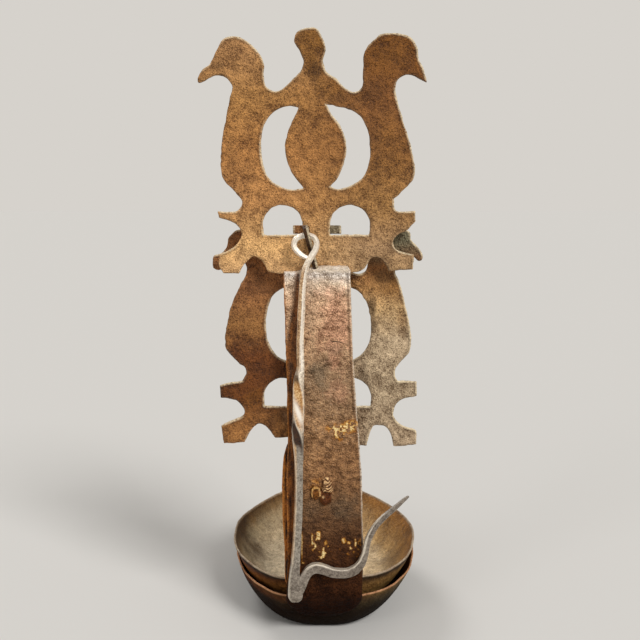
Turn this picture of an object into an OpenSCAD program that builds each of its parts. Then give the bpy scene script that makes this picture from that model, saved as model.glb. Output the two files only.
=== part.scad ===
// Double crusie lamp: two nested open iron pans, each carried by a strap that ends in a cut-out plate of
// two birds. The inner unit hangs on a notched arm, and a twisted hanger with a hook swings from the back.
// The back of the lamp faces -Y and the spouts point to +Y. The origin is the middle of the outer pan's foot.

/* [Pans] */
// Width of the outer pan across its rim
pan_w = 89; // [80:1:100]
// From the pan's widest point back to its rear wall
pan_back = 58; // [50:1:66]
// From the pan's widest point forward to the middle of the spout's lip
pan_front = 88; // [74:1:100]
// Height of a pan, foot to rim
pan_depth = 21; // [18:0.5:26]
// Thickness of the pan iron
pan_wall = 1.4; // [1:0.1:2]
// Width of the outer pan's spout
spout_w = 17; // [14:0.5:20]
// Width of the flat at the back of a pan's rim, where the strap is brazed on
seat_w = 36; // [36:1:44]
// How far a pan's side wall runs in from rim to foot
side_in = 16; // [12:0.5:20]
// How far a pan's rear wall runs in from rim to foot
back_in = 16; // [12:0.5:20]
// How far a pan's front runs in from lip to foot
front_in = 30; // [22:1:38]
// How far the inner pan stands above the outer one
nest_lift = 7; // [6:0.5:9]
// Least gap between the walls of the nested pans
nest_gap = 1.2; // [0.8:0.1:1.8]

/* [Straps] */
// Thickness of the strap iron
strap_t = 2; // [1.5:0.1:2.6]
// Width of the outer strap where it meets the bird plate
strap_top_w = 28.4; // [24:0.2:32]
// Width of the outer strap where it meets the pan
strap_foot_w = 34; // [30:0.2:35.6]
// Width of the inner strap where it meets its plate
inner_top_w = 30; // [24:0.2:33]
// Width of the inner strap where it meets its pan
inner_foot_w = 34.4; // [30:0.2:35.6]
// Gap between the two straps at the inner pan's rim
strap_gap = 0.8; // [0.5:0.1:1.5]
// Lean of the inner strap and its plate towards the spout, in degrees
inner_lean = 2; // [0.5:0.25:3]
// How far a strap's tail runs down the outside of its pan
tail_drop = 13; // [8:0.5:15]

/* [Bird plates] */
// Width of a bird plate from beak to beak
plate_w = 93.4; // [84:0.2:104]
// Height of the upper bird plate, feet to finial
plate_h = 100.6; // [90:0.2:110]
// Thickness of the plate iron
plate_t = 2; // [1.5:0.1:2.6]
// Height of the upper plate's feet above the table
upper_z = 163.7; // [158:0.1:172]
// Height of the lower plate's feet above the table
lower_z = 88.7; // [86:0.1:94]
// Height of the lower birds' heads above the beaks, as a share of the upper ones
lower_head = 0.79; // [0.6:0.01:1]
// Width of the opening round the oval
ring_w = 46; // [42:0.5:48]
// Height of the opening round the oval
ring_h = 34.6; // [32:0.2:36]
// Width of the oval
oval_w = 25.2; // [22:0.2:28]
// Height of the oval
oval_h = 36.6; // [36.4:0.2:40]
// Width of each arch under the ring
arch_w = 17; // [14:0.5:19]
// Height of each arch under the ring
arch_h = 13; // [11:0.5:14]
// How far each plate's tongue laps down its strap
tongue_drop = 14; // [8:0.5:20]

/* [Ratchet arm] */
// Height of the arm's upper edge above the table
arm_top_z = 73.5; // [70:0.5:78]
// Height of the arm's bar
arm_h = 10; // [8:0.5:12]
// Thickness of the arm's bar
arm_t = 3; // [2.4:0.1:4]
// Number of notches along the arm
notches = 4; // [2:1:5]
// Distance from notch to notch
notch_pitch = 8; // [7:0.5:10]
// Depth of a notch
notch_d = 3.5; // [2.5:0.1:4]
// How far the inner unit can be lifted on the arm
lift = 8; // [5:0.5:9]

/* [Hanger] */
// Thickness of the hanger's square bar
bar_t = 3.1; // [2.6:0.1:3.6]
// Thickness of the wire-like bar round the eye
eye_t = 2.1; // [1.8:0.1:2.3]
// Length of the hanger, from the top of its eye down to its foot
hanger_l = 159.4; // [140:0.2:170]
// Number of quarter turns in the twisted stretch
quarter_turns = 2; // [1:1:8]
// Room between the hanging hanger and the strap
hanger_gap = 2.4; // [1.5:0.1:4]
// Width of the link's strip
link_w = 2.2; // [1.8:0.1:2.4]
// Thickness of the link's strip
link_t = 1.3; // [1:0.1:1.5]

/* [Hidden] */
$fn = 48;

// Running clearance of a piece that is only threaded through another
clear = 0.05;
// Room left round the arm in the inner strap's slot
slot_room = 1;
// Slack left under the arm once the inner unit is lifted right up
lift_slack = 0.6;
// Gap above the notch floor that the inner unit rests across
seat_gap = 0.1;

// The wall of a pan runs in from rim to foot: a flared wall that turns under in a quarter round
flare_share = 0.45;
wall_rings = 9;
function wall_run(u) = flare_share * u + (1 - flare_share) * (1 - sqrt(1 - min(1, u * u)));
function ring_step(i) = sin(90 * i / wall_rings);

// A pan is described at each height by [half width, rear, front, half seat, half spout]
tip_in = 5;
seat_in = 6;
run_in = [side_in, back_in, front_in, seat_in, tip_in];
lift_run = wall_run(nest_lift / pan_depth);
strap_back_y = -pan_back - strap_t;
inner_rim_y = -pan_back + strap_gap + strap_t;
outer_rim = [pan_w / 2, pan_back, pan_front, seat_w / 2, spout_w / 2];
inner_rim = [
    pan_w / 2 - pan_wall - nest_gap + side_in * lift_run,
    -inner_rim_y,
    pan_front + front_in * lift_run,
    seat_w / 2,
    spout_w / 2 - pan_wall - nest_gap + tip_in * lift_run
];

rear_steps = 11;
flank_steps = 14;
lip_steps = 5;
function half_ring(p) = concat(
    [for (i = [0:rear_steps - 1]) let (a = 90 - 90 * i / rear_steps)
        [p[3] + (p[0] - p[3]) * cos(a), -p[1] * sin(a)]],
    [for (i = [0:flank_steps - 1]) let (s = i / flank_steps)
        [p[4] + (p[0] - p[4]) * cos(90 * s), p[2] * s]],
    [for (i = [0:lip_steps]) let (a = 90 * i / lip_steps)
        [p[4] * cos(a), p[2] + p[4] * sin(a)]]
);
function full_ring(p) = let (h = half_ring(p), n = len(h))
    concat(h, [for (i = [n - 2:-1:0]) [-h[i].x, h[i].y]]);
function at_height(ring, z) = [for (p = ring) [p.x, p.y, z]];

// Closed skin through a list of rings, each with as many points, the first and last one capped
module skin(rings) {
    n = len(rings[0]);
    m = len(rings);
    faces = concat(
        [[for (i = [0:n - 1]) i]],
        [for (r = [0:m - 2]) for (i = [0:n - 1]) let (a = r * n + i, b = r * n + (i + 1) % n)
            [a, a + n, b + n]],
        [for (r = [0:m - 2]) for (i = [0:n - 1]) let (a = r * n + i, b = r * n + (i + 1) % n)
            [a, b + n, b]],
        [[for (i = [n - 1:-1:0]) (m - 1) * n + i]]
    );
    polyhedron([for (r = rings) each r], faces);
}

module pan(rim, base_z) {
    // The spout's round keeps its centre, so only its radius is thinned
    thin = [pan_wall, pan_wall, 0, pan_wall / 2, pan_wall];
    inside = rim - thin;
    skin(concat(
        [for (i = [wall_rings:-1:0]) let (u = ring_step(i))
            at_height(full_ring(rim - run_in * wall_run(u)), base_z + pan_depth * (1 - u))],
        [for (i = [0:wall_rings]) let (u = ring_step(i))
            at_height(full_ring(inside - run_in * wall_run(u)),
                      base_z + pan_depth - (pan_depth - pan_wall) * u)]
    ));
}

module outer_pan() {
    color("#2b1c14") pan(outer_rim, 0);
}

module inner_pan() {
    color("#9a7a4c") pan(inner_rim, nest_lift);
}

// A point turned about the origin
function turned(p, a) = [p.x * cos(a) - p.y * sin(a), p.x * sin(a) + p.y * cos(a)];

// Side profile of a strap: straight up from its pan's rim, or leaning forward, with a tail down the pan's
// rear wall. Given as [y, z], y measured forward from the outer face of the rim.
function tail(u) = [back_in * wall_run(u), -pan_depth * u];
tail_steps = [for (i = [1:wall_rings]) if (pan_depth * ring_step(i) <= tail_drop) ring_step(i)];
function strap_profile(height, top_bevel, lean) = concat(
    [[0, 0]],
    [for (u = tail_steps) tail(u)],
    [for (i = [len(tail_steps) - 1:-1:0]) tail(tail_steps[i]) - [strap_t, 0]],
    [[-strap_t, 0], turned([-strap_t, height], -lean), turned([0, height + top_bevel], -lean)]
);
tail_end = -pan_depth * tail_steps[len(tail_steps) - 1];

module profile_bar(profile, width) {
    translate([-width / 2, 0, 0]) rotate([90, 0, 90]) linear_extrude(width) polygon(profile);
}

// Front outline of a strap: it widens in a slow S from top to foot, and its tail narrows to a round end
outline_steps = 12;
flare_top = 0.22;
flare_foot = 0.85;
function ease(t) = let (c = min(1, max(0, t))) c * c * (3 - 2 * c);
function strap_half(top_w, foot_w, t) =
    (top_w + (foot_w - top_w) * ease((t - flare_top) / (flare_foot - flare_top))) / 2;
module strap_outline(height, top_w, foot_w, top_x, cap) {
    shift = function (t) top_x * (1 - t);
    side = function (s, t) [shift(t) + s * strap_half(top_w, foot_w, t), height * (1 - t)];
    polygon(concat(
        [for (i = [0:outline_steps]) side(1, i / outline_steps)],
        [for (i = [1:outline_steps - 1]) let (a = 180 * i / outline_steps)
            [foot_w / 2 * cos(a), tail_end * sin(a)]],
        [for (i = [outline_steps:-1:0]) side(-1, i / outline_steps)],
        [[top_x - top_w / 2, height + cap], [top_x + top_w / 2, height + cap]]
    ));
}

module upright(depth) {
    rotate([90, 0, 0]) linear_extrude(depth, center = true) children();
}

// Depth of a block that cuts right through a strap and its tail
through = 4 * back_in;
// A strap with the origin at the outer face of its pan's rim
module strap(height, top_w, foot_w, top_x, top_bevel, lean) {
    intersection() {
        profile_bar(strap_profile(height, top_bevel, lean), 2 * foot_w);
        upright(through) strap_outline(height, top_w, foot_w, top_x, top_bevel + strap_t);
    }
}

// The braze run that fills the corner over the strap's top, against the plate
braze_rise = 2.4;

// Hand work: the plates, the straps' tops and the arm each sit a little to the left of the pans' middle
plate_x = -3.6;
lower_plate_x = -2.4;
strap_top_x = -3;
arm_x = -1;
upper_y = -pan_back;

// The arm passes through the strap as a tang, a little lower than the bar
tang_cut = 1.5;
tang_h = arm_h - 2 * tang_cut;
arm_foot_z = arm_top_z - arm_h;
notch_floor_z = arm_top_z - notch_d;

module outer_strap() {
    color("#6f5446") difference() {
        translate([0, -pan_back, pan_depth])
            strap(upper_z - pan_depth, strap_top_w, strap_foot_w, strap_top_x, braze_rise, 0);
        translate([arm_x, strap_back_y + strap_t / 2, arm_foot_z + arm_h / 2])
            cube([arm_t + 2 * clear, 2 * strap_t, tang_h + 2 * clear], center = true);
    }
}

// Everything on the inner strap leans forward about the inner pan's rim
module leaning() {
    translate([0, inner_rim_y, pan_depth + nest_lift]) rotate([-inner_lean, 0, 0]) children();
}

inner_strap_h = lower_z - pan_depth - nest_lift;
slot_top = notch_floor_z + seat_gap;
slot_foot = arm_foot_z - lift - lift_slack;
module inner_strap() {
    color("#5d4030") difference() {
        translate([0, inner_rim_y, pan_depth + nest_lift])
            strap(inner_strap_h, inner_top_w, inner_foot_w, lower_plate_x / 2, 0, inner_lean);
        translate([arm_x, inner_rim_y, (slot_top + slot_foot) / 2])
            cube([arm_t + 2 * slot_room, through, slot_top - slot_foot], center = true);
    }
}

// Bird plates. The outline is drawn at these sizes, feet at zero height, and is stretched to the plate's own.
// A point that is given twice is a sharp corner.
drawn_w = 93.4;
drawn_h = 100.6;
beak_z = 80;
finial = [[-5.5, 99.8], [-8.5, 95.4], [-6.2, 91.6], [-4.5, 87.5]];
finial_right = [[3.1, 87.5], [4.2, 92.8], [2, 98.2], [0.3, 100.4]];
finial_mid = -2;
left_head = [
    [-5.6, 83.8], [-9, 80.4], [-13, 76.8], [-16.5, 75.4], [-20.2, 77.2], [-21.4, 81.5], [-21.2, 86],
    [-22.6, 89.8], [-28, 95.2], [-33.5, 97], [-38.3, 95.2], [-42.2, 88], [-43.3, 86], [-46.4, 83.7],
    [-47.8, 79.4], [-47.8, 79.4], [-44.5, 80.4], [-40.5, 82], [-36.4, 80.8], [-34.1, 77], [-35.2, 72.5],
    [-36.8, 65], [-38.6, 55], [-39.3, 45], [-37.5, 38.3], [-33.5, 34.3], [-30.6, 30.8], [-30.9, 27.2]
];
pointed_prong = [[-35, 26], [-39.8, 25.2], [-39.8, 25.2], [-34.8, 21.9]];
square_prong = [[-33.6, 27.1], [-42.7, 26.2], [-42.7, 26.2], [-42.3, 20.9], [-42.3, 20.9], [-36.5, 19.8]];
left_foot = [
    [-31.5, 18.6], [-31.2, 15.4], [-34, 11], [-40.4, 7.9], [-40.4, 7.9], [-40.2, 3], [-38.8, 0.2],
    [-32.4, 0], [-32.4, 0], [-30, 4.2], [-26, 7.2], [-22, 4.6], [-19.8, 0.8], [-15.6, 0], [-15.6, 0]
];
right_foot = [
    [14.8, 0.2], [14.8, 0.2], [18, 0.6], [21, 2.4], [23.5, 6.4], [27, 6.8], [29.4, 4.4], [31.2, 1],
    [31.2, 1], [41.2, 1.6], [41.2, 1.6], [41.6, 7.9], [41.6, 7.9], [35.5, 9.2], [32.8, 12.4], [34.4, 16.2]
];
right_prong = [[38.5, 18.3], [42, 22], [42, 22], [41.8, 25.9], [41.8, 25.9], [34, 26.3]];
right_head = [
    [32.7, 31.4], [32.7, 31.4], [36.4, 34.5], [40.6, 39], [41.4, 45], [39, 55.5], [35.5, 66.3], [33, 75],
    [34.2, 80.4], [38.5, 82], [42.4, 80.6], [45.5, 79.2], [45.5, 79.2], [44.5, 84], [42.2, 88.6],
    [41.6, 92.8], [38.4, 97], [31, 98.4], [26, 97.3], [20.6, 91.4], [20.1, 85], [19.6, 77.6],
    [16.4, 75], [12.4, 76.6], [8.5, 80.3], [4.6, 83]
];

curve_steps = 3;
function curve(a, b, c, d, t) =
    (2 * b + (c - a) * t + (2 * a - 5 * b + 4 * c - d) * t * t + (3 * b - a - 3 * c + d) * t * t * t) / 2;
function smooth(p) = let (n = len(p)) [
    for (i = [0:n - 1]) let (b = p[i], c = p[(i + 1) % n])
        if (b != c) for (k = [0:curve_steps - 1])
            curve(p[(i + n - 1) % n], b, c, p[(i + 2) % n], k / curve_steps)
];
function knob(points, share) = [for (p = points) [finial_mid + (p.x - finial_mid) * share, p.y]];
function bird_outline(prong, knob_share) = concat(
    knob(finial, knob_share), left_head, prong, left_foot, right_foot, right_prong, right_head,
    knob(finial_right, knob_share)
);
function cut_to_size(points, head) = [
    for (p = points) [p.x * plate_w / drawn_w,
                      (p.y > beak_z ? beak_z + (p.y - beak_z) * head : p.y) * plate_h / drawn_h]
];

// The opening is a full oval of a squarer kind with a plain oval left standing in it
ring_mid = 52.6;
ring_power = 2.6;
ring_points = 64;
function squarish(a, b, power) = [
    for (i = [0:ring_points - 1]) let (t = 360 * i / ring_points, c = cos(t), s = sin(t))
        [a * sign(c) * pow(abs(c), 2 / power), b * sign(s) * pow(abs(s), 2 / power)]
];
arch_foot = 15.9;
left_arch_x = -13.9;
right_arch_x = 14.3;
module arch(x) {
    translate([x, arch_foot]) {
        translate([0, arch_h - arch_w / 2]) circle(d = arch_w);
        translate([-arch_w / 2, 0]) square([arch_w, arch_h - arch_w / 2]);
    }
}

module bird_sheet(prong, head, knob_share, tongue_w, tongue_x) {
    difference() {
        union() {
            polygon(smooth(cut_to_size(bird_outline(prong, knob_share), head)));
            translate([tongue_x - tongue_w / 2, -tongue_drop]) square([tongue_w, 2 * tongue_drop]);
        }
        difference() {
            translate([0, ring_mid]) polygon(squarish(ring_w / 2, ring_h / 2, ring_power));
            translate([0, ring_mid]) polygon(squarish(oval_w / 2, oval_h / 2, 2));
        }
        arch(left_arch_x);
        arch(right_arch_x);
    }
}

// The tongue is a little narrower than the strap that it laps
tongue_inset = 2;
link_x = -7.4;
link_z = 182;
module upper_bird_plate() {
    color("#a5743c") difference() {
        translate([plate_x, upper_y, upper_z])
            rotate([90, 0, 0]) mirror([0, 0, 1]) linear_extrude(plate_t)
                bird_sheet(pointed_prong, 1, 1, strap_top_w - 2 * tongue_inset, strap_top_x - plate_x);
        translate([link_x, upper_y + plate_t / 2, link_z])
            cube([link_w + 2 * clear, 2 * plate_t, leg_h + 2 * clear], center = true);
    }
}

slim_knob = 0.62;
module lower_bird_plate() {
    color("#8a5c2e") leaning() translate([lower_plate_x, 0, inner_strap_h])
        rotate([90, 0, 0]) mirror([0, 0, 1]) linear_extrude(plate_t)
            bird_sheet(square_prong, lower_head, slim_knob, inner_top_w - 2 * tongue_inset,
                       -lower_plate_x / 2);
}

// The arm is one bar: peened outside the strap, a tang through it, then the notched length with a lip
notch_start = 1.7;
notch_w = 3.2;
notch_slope = 2;
lip_l = 5;
lip_tip = 1;
lip_rise = 3;
arm_l = notch_start + notches * notch_pitch + lip_l;
function notch(i) = let (y = notch_start + i * notch_pitch)
    [[y, arm_h], [y, arm_h - notch_d], [y + notch_w, arm_h - notch_d], [y + notch_w + notch_slope, arm_h]];
module peened_end(r, rise) {
    rotate([90, 0, 0]) intersection() {
        translate([0, 0, rise - r]) sphere(r);
        cylinder(r = r, h = r);
    }
}
peen_r = 3.7;
peen_rise = 2.6;
// Middles of the two hammered lumps, measured from the middle of the tang
peens = [[-1.5, -1.9], [1.8, 1.8]];
module ratchet_arm() {
    color("#8f6b45") {
        translate([arm_x - arm_t / 2, -pan_back, arm_foot_z]) rotate([90, 0, 90]) linear_extrude(arm_t)
            polygon(concat(
                [[0, 0], [0, arm_h]],
                [for (i = [0:notches - 1]) each notch(i)],
                [[arm_l - lip_tip, arm_h + lip_rise], [arm_l, arm_h + lip_rise], [arm_l, arm_h / 2],
                 [arm_l - lip_l, 0]]
            ));
        translate([arm_x, -pan_back - strap_t / 2, arm_foot_z + arm_h / 2])
            cube([arm_t, strap_t, tang_h], center = true);
        for (p = peens) translate([arm_x + p.x, strap_back_y, arm_foot_z + arm_h / 2 + p.y])
            peened_end(peen_r, peen_rise);
    }
}

// The link's loop as a closed line of [y, z] points, measured from the middle of its slot in the plate: out
// over the eye, down in front of it, round the foot and back up along the plate
link_loop = [
    [-0.85, -1], [-2, 1], [-4, 1.3], [-7, 0.2], [-8.3, -2.6], [-7.4, -4.8], [-5.4, -6.2], [-3.4, -8],
    [-2.8, -10.4], [-2.75, -13.4], [-1.8, -14.4], [-0.85, -13.4], [-0.85, -8], [-0.85, -4]
];
link_tilt = 14;
// The two ends of the strip go through the slot together and are clenched flat behind the plate
leg_h = 2 * link_t + 2 * clear;
leg_lap = 1.5;
clench_w = 20.4;
clench_h = 3.6;
clench_x = 4.6;
module hanging_link() {
    color("#4a3a2c") translate([link_x, upper_y, link_z]) {
        rotate([0, -link_tilt, 0]) translate([-link_w / 2, 0, 0]) rotate([90, 0, 90]) linear_extrude(link_w)
            difference() {
                offset(r = link_t / 2) polygon(smooth(link_loop));
                offset(r = -link_t / 2) polygon(smooth(link_loop));
            }
        translate([-link_w / 2, -leg_lap, -leg_h / 2]) cube([link_w, leg_lap + plate_t + link_t / 2, leg_h]);
        translate([clench_x - clench_w / 2, plate_t, -clench_h / 2]) cube([clench_w, link_t, clench_h]);
    }
}

// Hanger bar: a chamfered square section carried along [x, z, size, turn] stations in one upright plane
flat_share = 0.62;
quarter = 90;
corners = [for (q = [0:3]) for (side = [-1, 1]) turned([1, side * flat_share], quarter * q)];
function heading(s, i) =
    let (a = s[max(0, i - 1)], b = s[min(len(s) - 1, i + 1)], d = [b[0] - a[0], b[1] - a[1]]) d / norm(d);
module bar(stations) {
    skin([for (i = [0:len(stations) - 1]) let (s = stations[i], d = heading(stations, i))
        [for (c = corners) let (q = turned(c, s[3]) * s[2] / 2)
            [s[0] + q.x * d.y, q.y, s[1] - q.x * d.x]]]);
}

// The eye's wire is flush with the bar's face towards the strap
hanger_y = strap_back_y - hanger_gap - bar_t / 2;
eye_y = hanger_y + (bar_t - eye_t) / 2;
function open_curve(p) = let (n = len(p)) concat(
    [for (i = [0:n - 2]) for (k = [0:curve_steps - 1])
        curve(p[max(0, i - 1)], p[i], p[i + 1], p[min(n - 1, i + 2)], k / curve_steps)],
    [p[n - 1]]
);
// The hanger is drawn at this length with the top of its eye's line here, and is stretched and hung from the
// link. The eye's line in [x, z] runs from inside the shank's top round to where it closes on itself.
drawn_hanger_l = 159.4;
drawn_pivot = [-7.7, 179.8];
pivot = [link_x - 0.3, link_z - 2.2];
function hung(p) = pivot + ([p[0], p[1]] - drawn_pivot) * hanger_l / drawn_hanger_l;
eye_path = [
    [-6.6, 167], [-5.6, 171], [-3.6, 174], [-2.9, 176.4], [-4, 178.8], [-6.4, 179.8], [-9, 179.7],
    [-11.9, 178.8], [-12.9, 176.4], [-11.4, 173.4], [-9, 171.2], [-7.5, 170.2]
];
// The rest of the bar in [x, z, share of its thickness], from the eye down to the folded foot, then the hook
shank = [[-7.2, 169, 0.9], [-8.2, 163, 1], [-8.8, 150, 1], [-9, 134, 1], [-10.4, 120, 1]];
twist_foot = [-11, 88];
lower_shank = [
    [-11, 74, 1.02], [-11, 58, 1.1], [-11.8, 44, 1.1], [-13.4, 33, 1.1], [-13.2, 26, 1.1], [-12.2, 21.6, 0.7]
];
hook = [
    [-12, 21.4, 0.8], [-10.4, 24, 1.1], [-9, 29, 1.2], [-7.6, 33, 1.3], [-4.6, 35.4, 1.5], [-1, 35.6, 1.5],
    [3, 34, 1.4], [7, 32.8, 1.35], [11, 33.3, 1.3], [14.6, 35.2, 1.25], [17, 38.6, 1.1], [18.2, 43.4, 1],
    [20, 48.4, 0.9], [22.6, 53, 0.85], [26, 57.4, 0.75], [30, 61.6, 0.65], [34, 65.2, 0.45], [36.8, 67.4, 0.2]
];
twist_steps = 12;
function sized(points, turn = 0) = [for (p = points) [each hung(p), p[2] * bar_t, turn]];
function twisted() = let (a = shank[len(shank) - 1], top = [a[0], a[1]]) [for (i = [1:twist_steps])
    [each hung(top + (twist_foot - top) * i / twist_steps), bar_t,
     quarter * quarter_turns * i / twist_steps]];
module hanger() {
    color("#b4aea4") {
        translate([0, eye_y, 0]) bar([for (p = open_curve(eye_path)) [each hung(p), eye_t, 0]]);
        translate([0, hanger_y, 0]) {
            bar(concat(sized(shank), twisted(), sized(lower_shank, quarter * quarter_turns)));
            bar(sized(hook));
        }
    }
}

outer_pan();
outer_strap();
upper_bird_plate();
ratchet_arm();
hanging_link();
inner_pan();
inner_strap();
lower_bird_plate();
hanger();
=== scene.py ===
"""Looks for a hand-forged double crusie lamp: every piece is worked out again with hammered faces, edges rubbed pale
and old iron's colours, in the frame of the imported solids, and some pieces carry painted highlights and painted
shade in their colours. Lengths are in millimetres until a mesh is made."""
import math

import bpy
import numpy as np
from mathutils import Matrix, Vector


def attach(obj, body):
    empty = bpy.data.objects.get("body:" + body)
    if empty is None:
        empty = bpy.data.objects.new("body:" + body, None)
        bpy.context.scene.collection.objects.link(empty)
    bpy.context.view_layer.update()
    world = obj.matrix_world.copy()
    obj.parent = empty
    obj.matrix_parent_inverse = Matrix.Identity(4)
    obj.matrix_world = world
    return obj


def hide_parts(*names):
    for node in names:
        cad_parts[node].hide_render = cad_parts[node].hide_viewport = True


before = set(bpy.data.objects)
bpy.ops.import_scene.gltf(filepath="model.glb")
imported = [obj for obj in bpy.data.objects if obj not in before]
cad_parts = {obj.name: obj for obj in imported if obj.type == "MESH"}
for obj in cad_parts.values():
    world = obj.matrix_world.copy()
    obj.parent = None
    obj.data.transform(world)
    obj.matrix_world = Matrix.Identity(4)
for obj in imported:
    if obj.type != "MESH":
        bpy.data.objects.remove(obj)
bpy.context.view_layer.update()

MM = 0.001

# Sizes shared with the solids
PAN_W, PAN_BACK, PAN_FRONT, PAN_DEPTH, PAN_WALL = 89, 58, 88, 21, 1.4
SPOUT_W, SEAT_W, SIDE_IN, BACK_IN, FRONT_IN, SEAT_IN, TIP_IN = 17, 24, 16, 16, 30, 9, 5
NEST_LIFT, NEST_GAP = 7, 1.2
STRAP_T, STRAP_GAP, LEAN, TAIL_DROP = 2, 0.8, math.radians(2), 13
PLATE_T, UPPER_Z, LOWER_Z = 2, 163.7, 88.7
UPPER_X, LOWER_X, ARM_X = -3.6, -2.4, -1
ARM_TOP, ARM_H, ARM_T, NOTCH_D, NOTCH_PITCH, NOTCHES = 73.5, 10, 3, 3.5, 8, 4
LINK_X, LINK_Z, LINK_W, LINK_T, LINK_TILT = -7.4, 182, 2.2, 1.3, math.radians(14)
REAR_Y = -PAN_BACK - STRAP_T
INNER_RIM_Y = -PAN_BACK + STRAP_GAP + STRAP_T
INNER_RIM_Z = PAN_DEPTH + NEST_LIFT


def noise(p, size, seed=0):
    """Smooth lattice noise from -1 to 1. Each corner of a cubic lattice has a fixed value, hashed from its whole-number
    place, and a point blends the values of the eight corners round it with an ease curve."""
    q = p / size + 0.37 * seed
    cell = np.floor(q).astype(np.int64)
    f = q - cell
    f = f * f * (3 - 2 * f)
    total = np.zeros(p.shape[:-1])
    for corner in np.ndindex(*(2,) * p.shape[-1]):
        c = cell + corner
        h = c[..., 0] * 73856093 + seed * 83492791
        for k in range(1, p.shape[-1]):
            h = h ^ (c[..., k] * (19349663 if k == 1 else 67867967))
        h = ((h ^ (h >> 13)) * 1274126177) & 0xFFFFFFFF
        value = ((h ^ (h >> 15)) & 0xFFFF) / 32767.5 - 1
        total += value * np.prod(np.where(corner, f, 1 - f), -1)
    return total


def smooth(points, steps=5):
    """Closed Catmull-Rom curve through the points. A point that is given twice is a sharp corner."""
    b = np.array(points, float)
    a, c, d = np.roll(b, 1, 0), np.roll(b, -1, 0), np.roll(b, -2, 0)
    a, b, c, d = (v[:, None] for v in (a, b, c, d))
    t = (np.arange(steps) / steps)[None, :, None]
    line = (2 * b + (c - a) * t + (2 * a - 5 * b + 4 * c - d) * t**2 + (3 * b - a - 3 * c + d) * t**3) / 2
    apart = np.abs(c - b).max((1, 2)) > 1e-6
    return line[apart].reshape(-1, 2)


def line_distance(p, line):
    """Distance from each point to a closed line, negative inside it: the nearest of its segments, with the sign from
    how many segments lie straight to the right."""
    best = np.full(p.shape[:-1], 1e9)
    inside = np.zeros(p.shape[:-1], bool)
    for a, b in zip(line, np.roll(line, -1, 0)):
        d = b - a
        to = p - a
        t = np.clip(to @ d / max(d @ d, 1e-12), 0, 1)
        best = np.minimum(best, np.hypot(to[..., 0] - t * d[0], to[..., 1] - t * d[1]))
        if a[1] != b[1]:
            spans = (a[1] > p[..., 1]) != (b[1] > p[..., 1])
            inside ^= spans & (p[..., 0] < d[0] * (p[..., 1] - a[1]) / d[1] + a[0])
    return np.where(inside, -best, best)


class Chart:
    """A flat distance worked out once on a fine square grid over [low, high], and read between its points."""

    def __init__(self, low, high, rule, pitch=0.3):
        self.low, self.pitch = np.array(low, float), pitch
        axes = [np.arange(a, b + pitch, pitch) for a, b in zip(low, high)]
        self.grid = rule(np.stack(np.meshgrid(*axes, indexing="ij"), -1))

    def __call__(self, p):
        q = (p - self.low) / self.pitch
        top = np.array(self.grid.shape) - 2
        i = np.clip(np.floor(q).astype(int), 0, top)
        f = np.clip(q - i, 0, 1)
        g, (x, y), (u, v) = self.grid, np.moveaxis(i, -1, 0), np.moveaxis(f, -1, 0)
        return (g[x, y] * (1 - u) * (1 - v) + g[x + 1, y] * u * (1 - v)
                + g[x, y + 1] * (1 - u) * v + g[x + 1, y + 1] * u * v)


def meet(a, b, r):
    """What lies in both of two shapes, with the edge between them rounded to radius r."""
    return np.minimum(np.maximum(a + r, b + r), 0) + np.hypot(np.maximum(a + r, 0), np.maximum(b + r, 0)) - r


def join(a, b, r):
    """Two shapes made one, with a fillet of radius r between them."""
    return -meet(-a, -b, r)


def slope(field, p, step=0.04):
    """How steeply a field rises along each axis, from its values on both sides of each point."""
    return np.stack([(field(p + step * e) - field(p - step * e)) / (2 * step) for e in np.eye(3)], -1)


def net(field, low, high, pitch):
    """Surface net of a field that is negative in the solid. On a cubic grid, each cell that the surface crosses gets
    one point, the mean of the crossings on its edges, and each crossed edge one face of the four cells round it. The
    points then slide down the field's slope onto the surface."""
    axes = [np.arange(a, b + pitch, pitch) for a, b in zip(low, high)]
    grid = np.stack(np.meshgrid(*axes, indexing="ij"), -1)
    value = field(grid)
    n = np.array(value.shape)
    total, count = np.zeros((*(n - 1), 3)), np.zeros(n - 1)
    crossed = []
    for k in range(3):
        u, w = [m for m in range(3) if m != k]
        a, b = np.take(value, range(n[k] - 1), k), np.take(value, range(1, n[k]), k)
        hit = (a < 0) != (b < 0)
        crossed.append((hit, a < 0))
        at = np.take(grid, range(n[k] - 1), k)
        at[..., k] += pitch * np.where(hit, a / np.where(hit, a - b, 1), 0)
        at *= hit[..., None]
        for du, dw in np.ndindex(2, 2):
            s = [slice(None)] * 3
            s[u], s[w] = slice(du, du + n[u] - 1), slice(dw, dw + n[w] - 1)
            total += at[tuple(s)]
            count += hit[tuple(s)]
    used = count > 0
    number = np.full(n - 1, -1)
    number[used] = np.arange(used.sum())
    points = total[used] / count[used][:, None]
    faces = []
    for k, (hit, first_in) in enumerate(crossed):
        u, w = [m for m in range(3) if m != k]
        inner = [slice(None)] * 3
        inner[u], inner[w] = slice(1, n[u] - 1), slice(1, n[w] - 1)
        place = np.argwhere(hit[tuple(inner)])
        outward = first_in[tuple(inner)][tuple(place.T)] ^ (k == 1)
        ring = []
        for du, dw in ((0, 0), (1, 0), (1, 1), (0, 1)):
            c = place.copy()
            c[:, u] += du
            c[:, w] += dw
            ring.append(number[tuple(c.T)])
        quad = np.stack(ring, 1)
        faces.append(np.where(outward[:, None], quad, quad[:, ::-1]))
    for _ in range(3):
        g = slope(field, points)
        shift = field(points)[:, None] * g / np.maximum((g * g).sum(-1, keepdims=True), 0.2)
        points = points - np.clip(shift, -pitch / 2, pitch / 2)
    return points, np.concatenate(faces)


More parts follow.
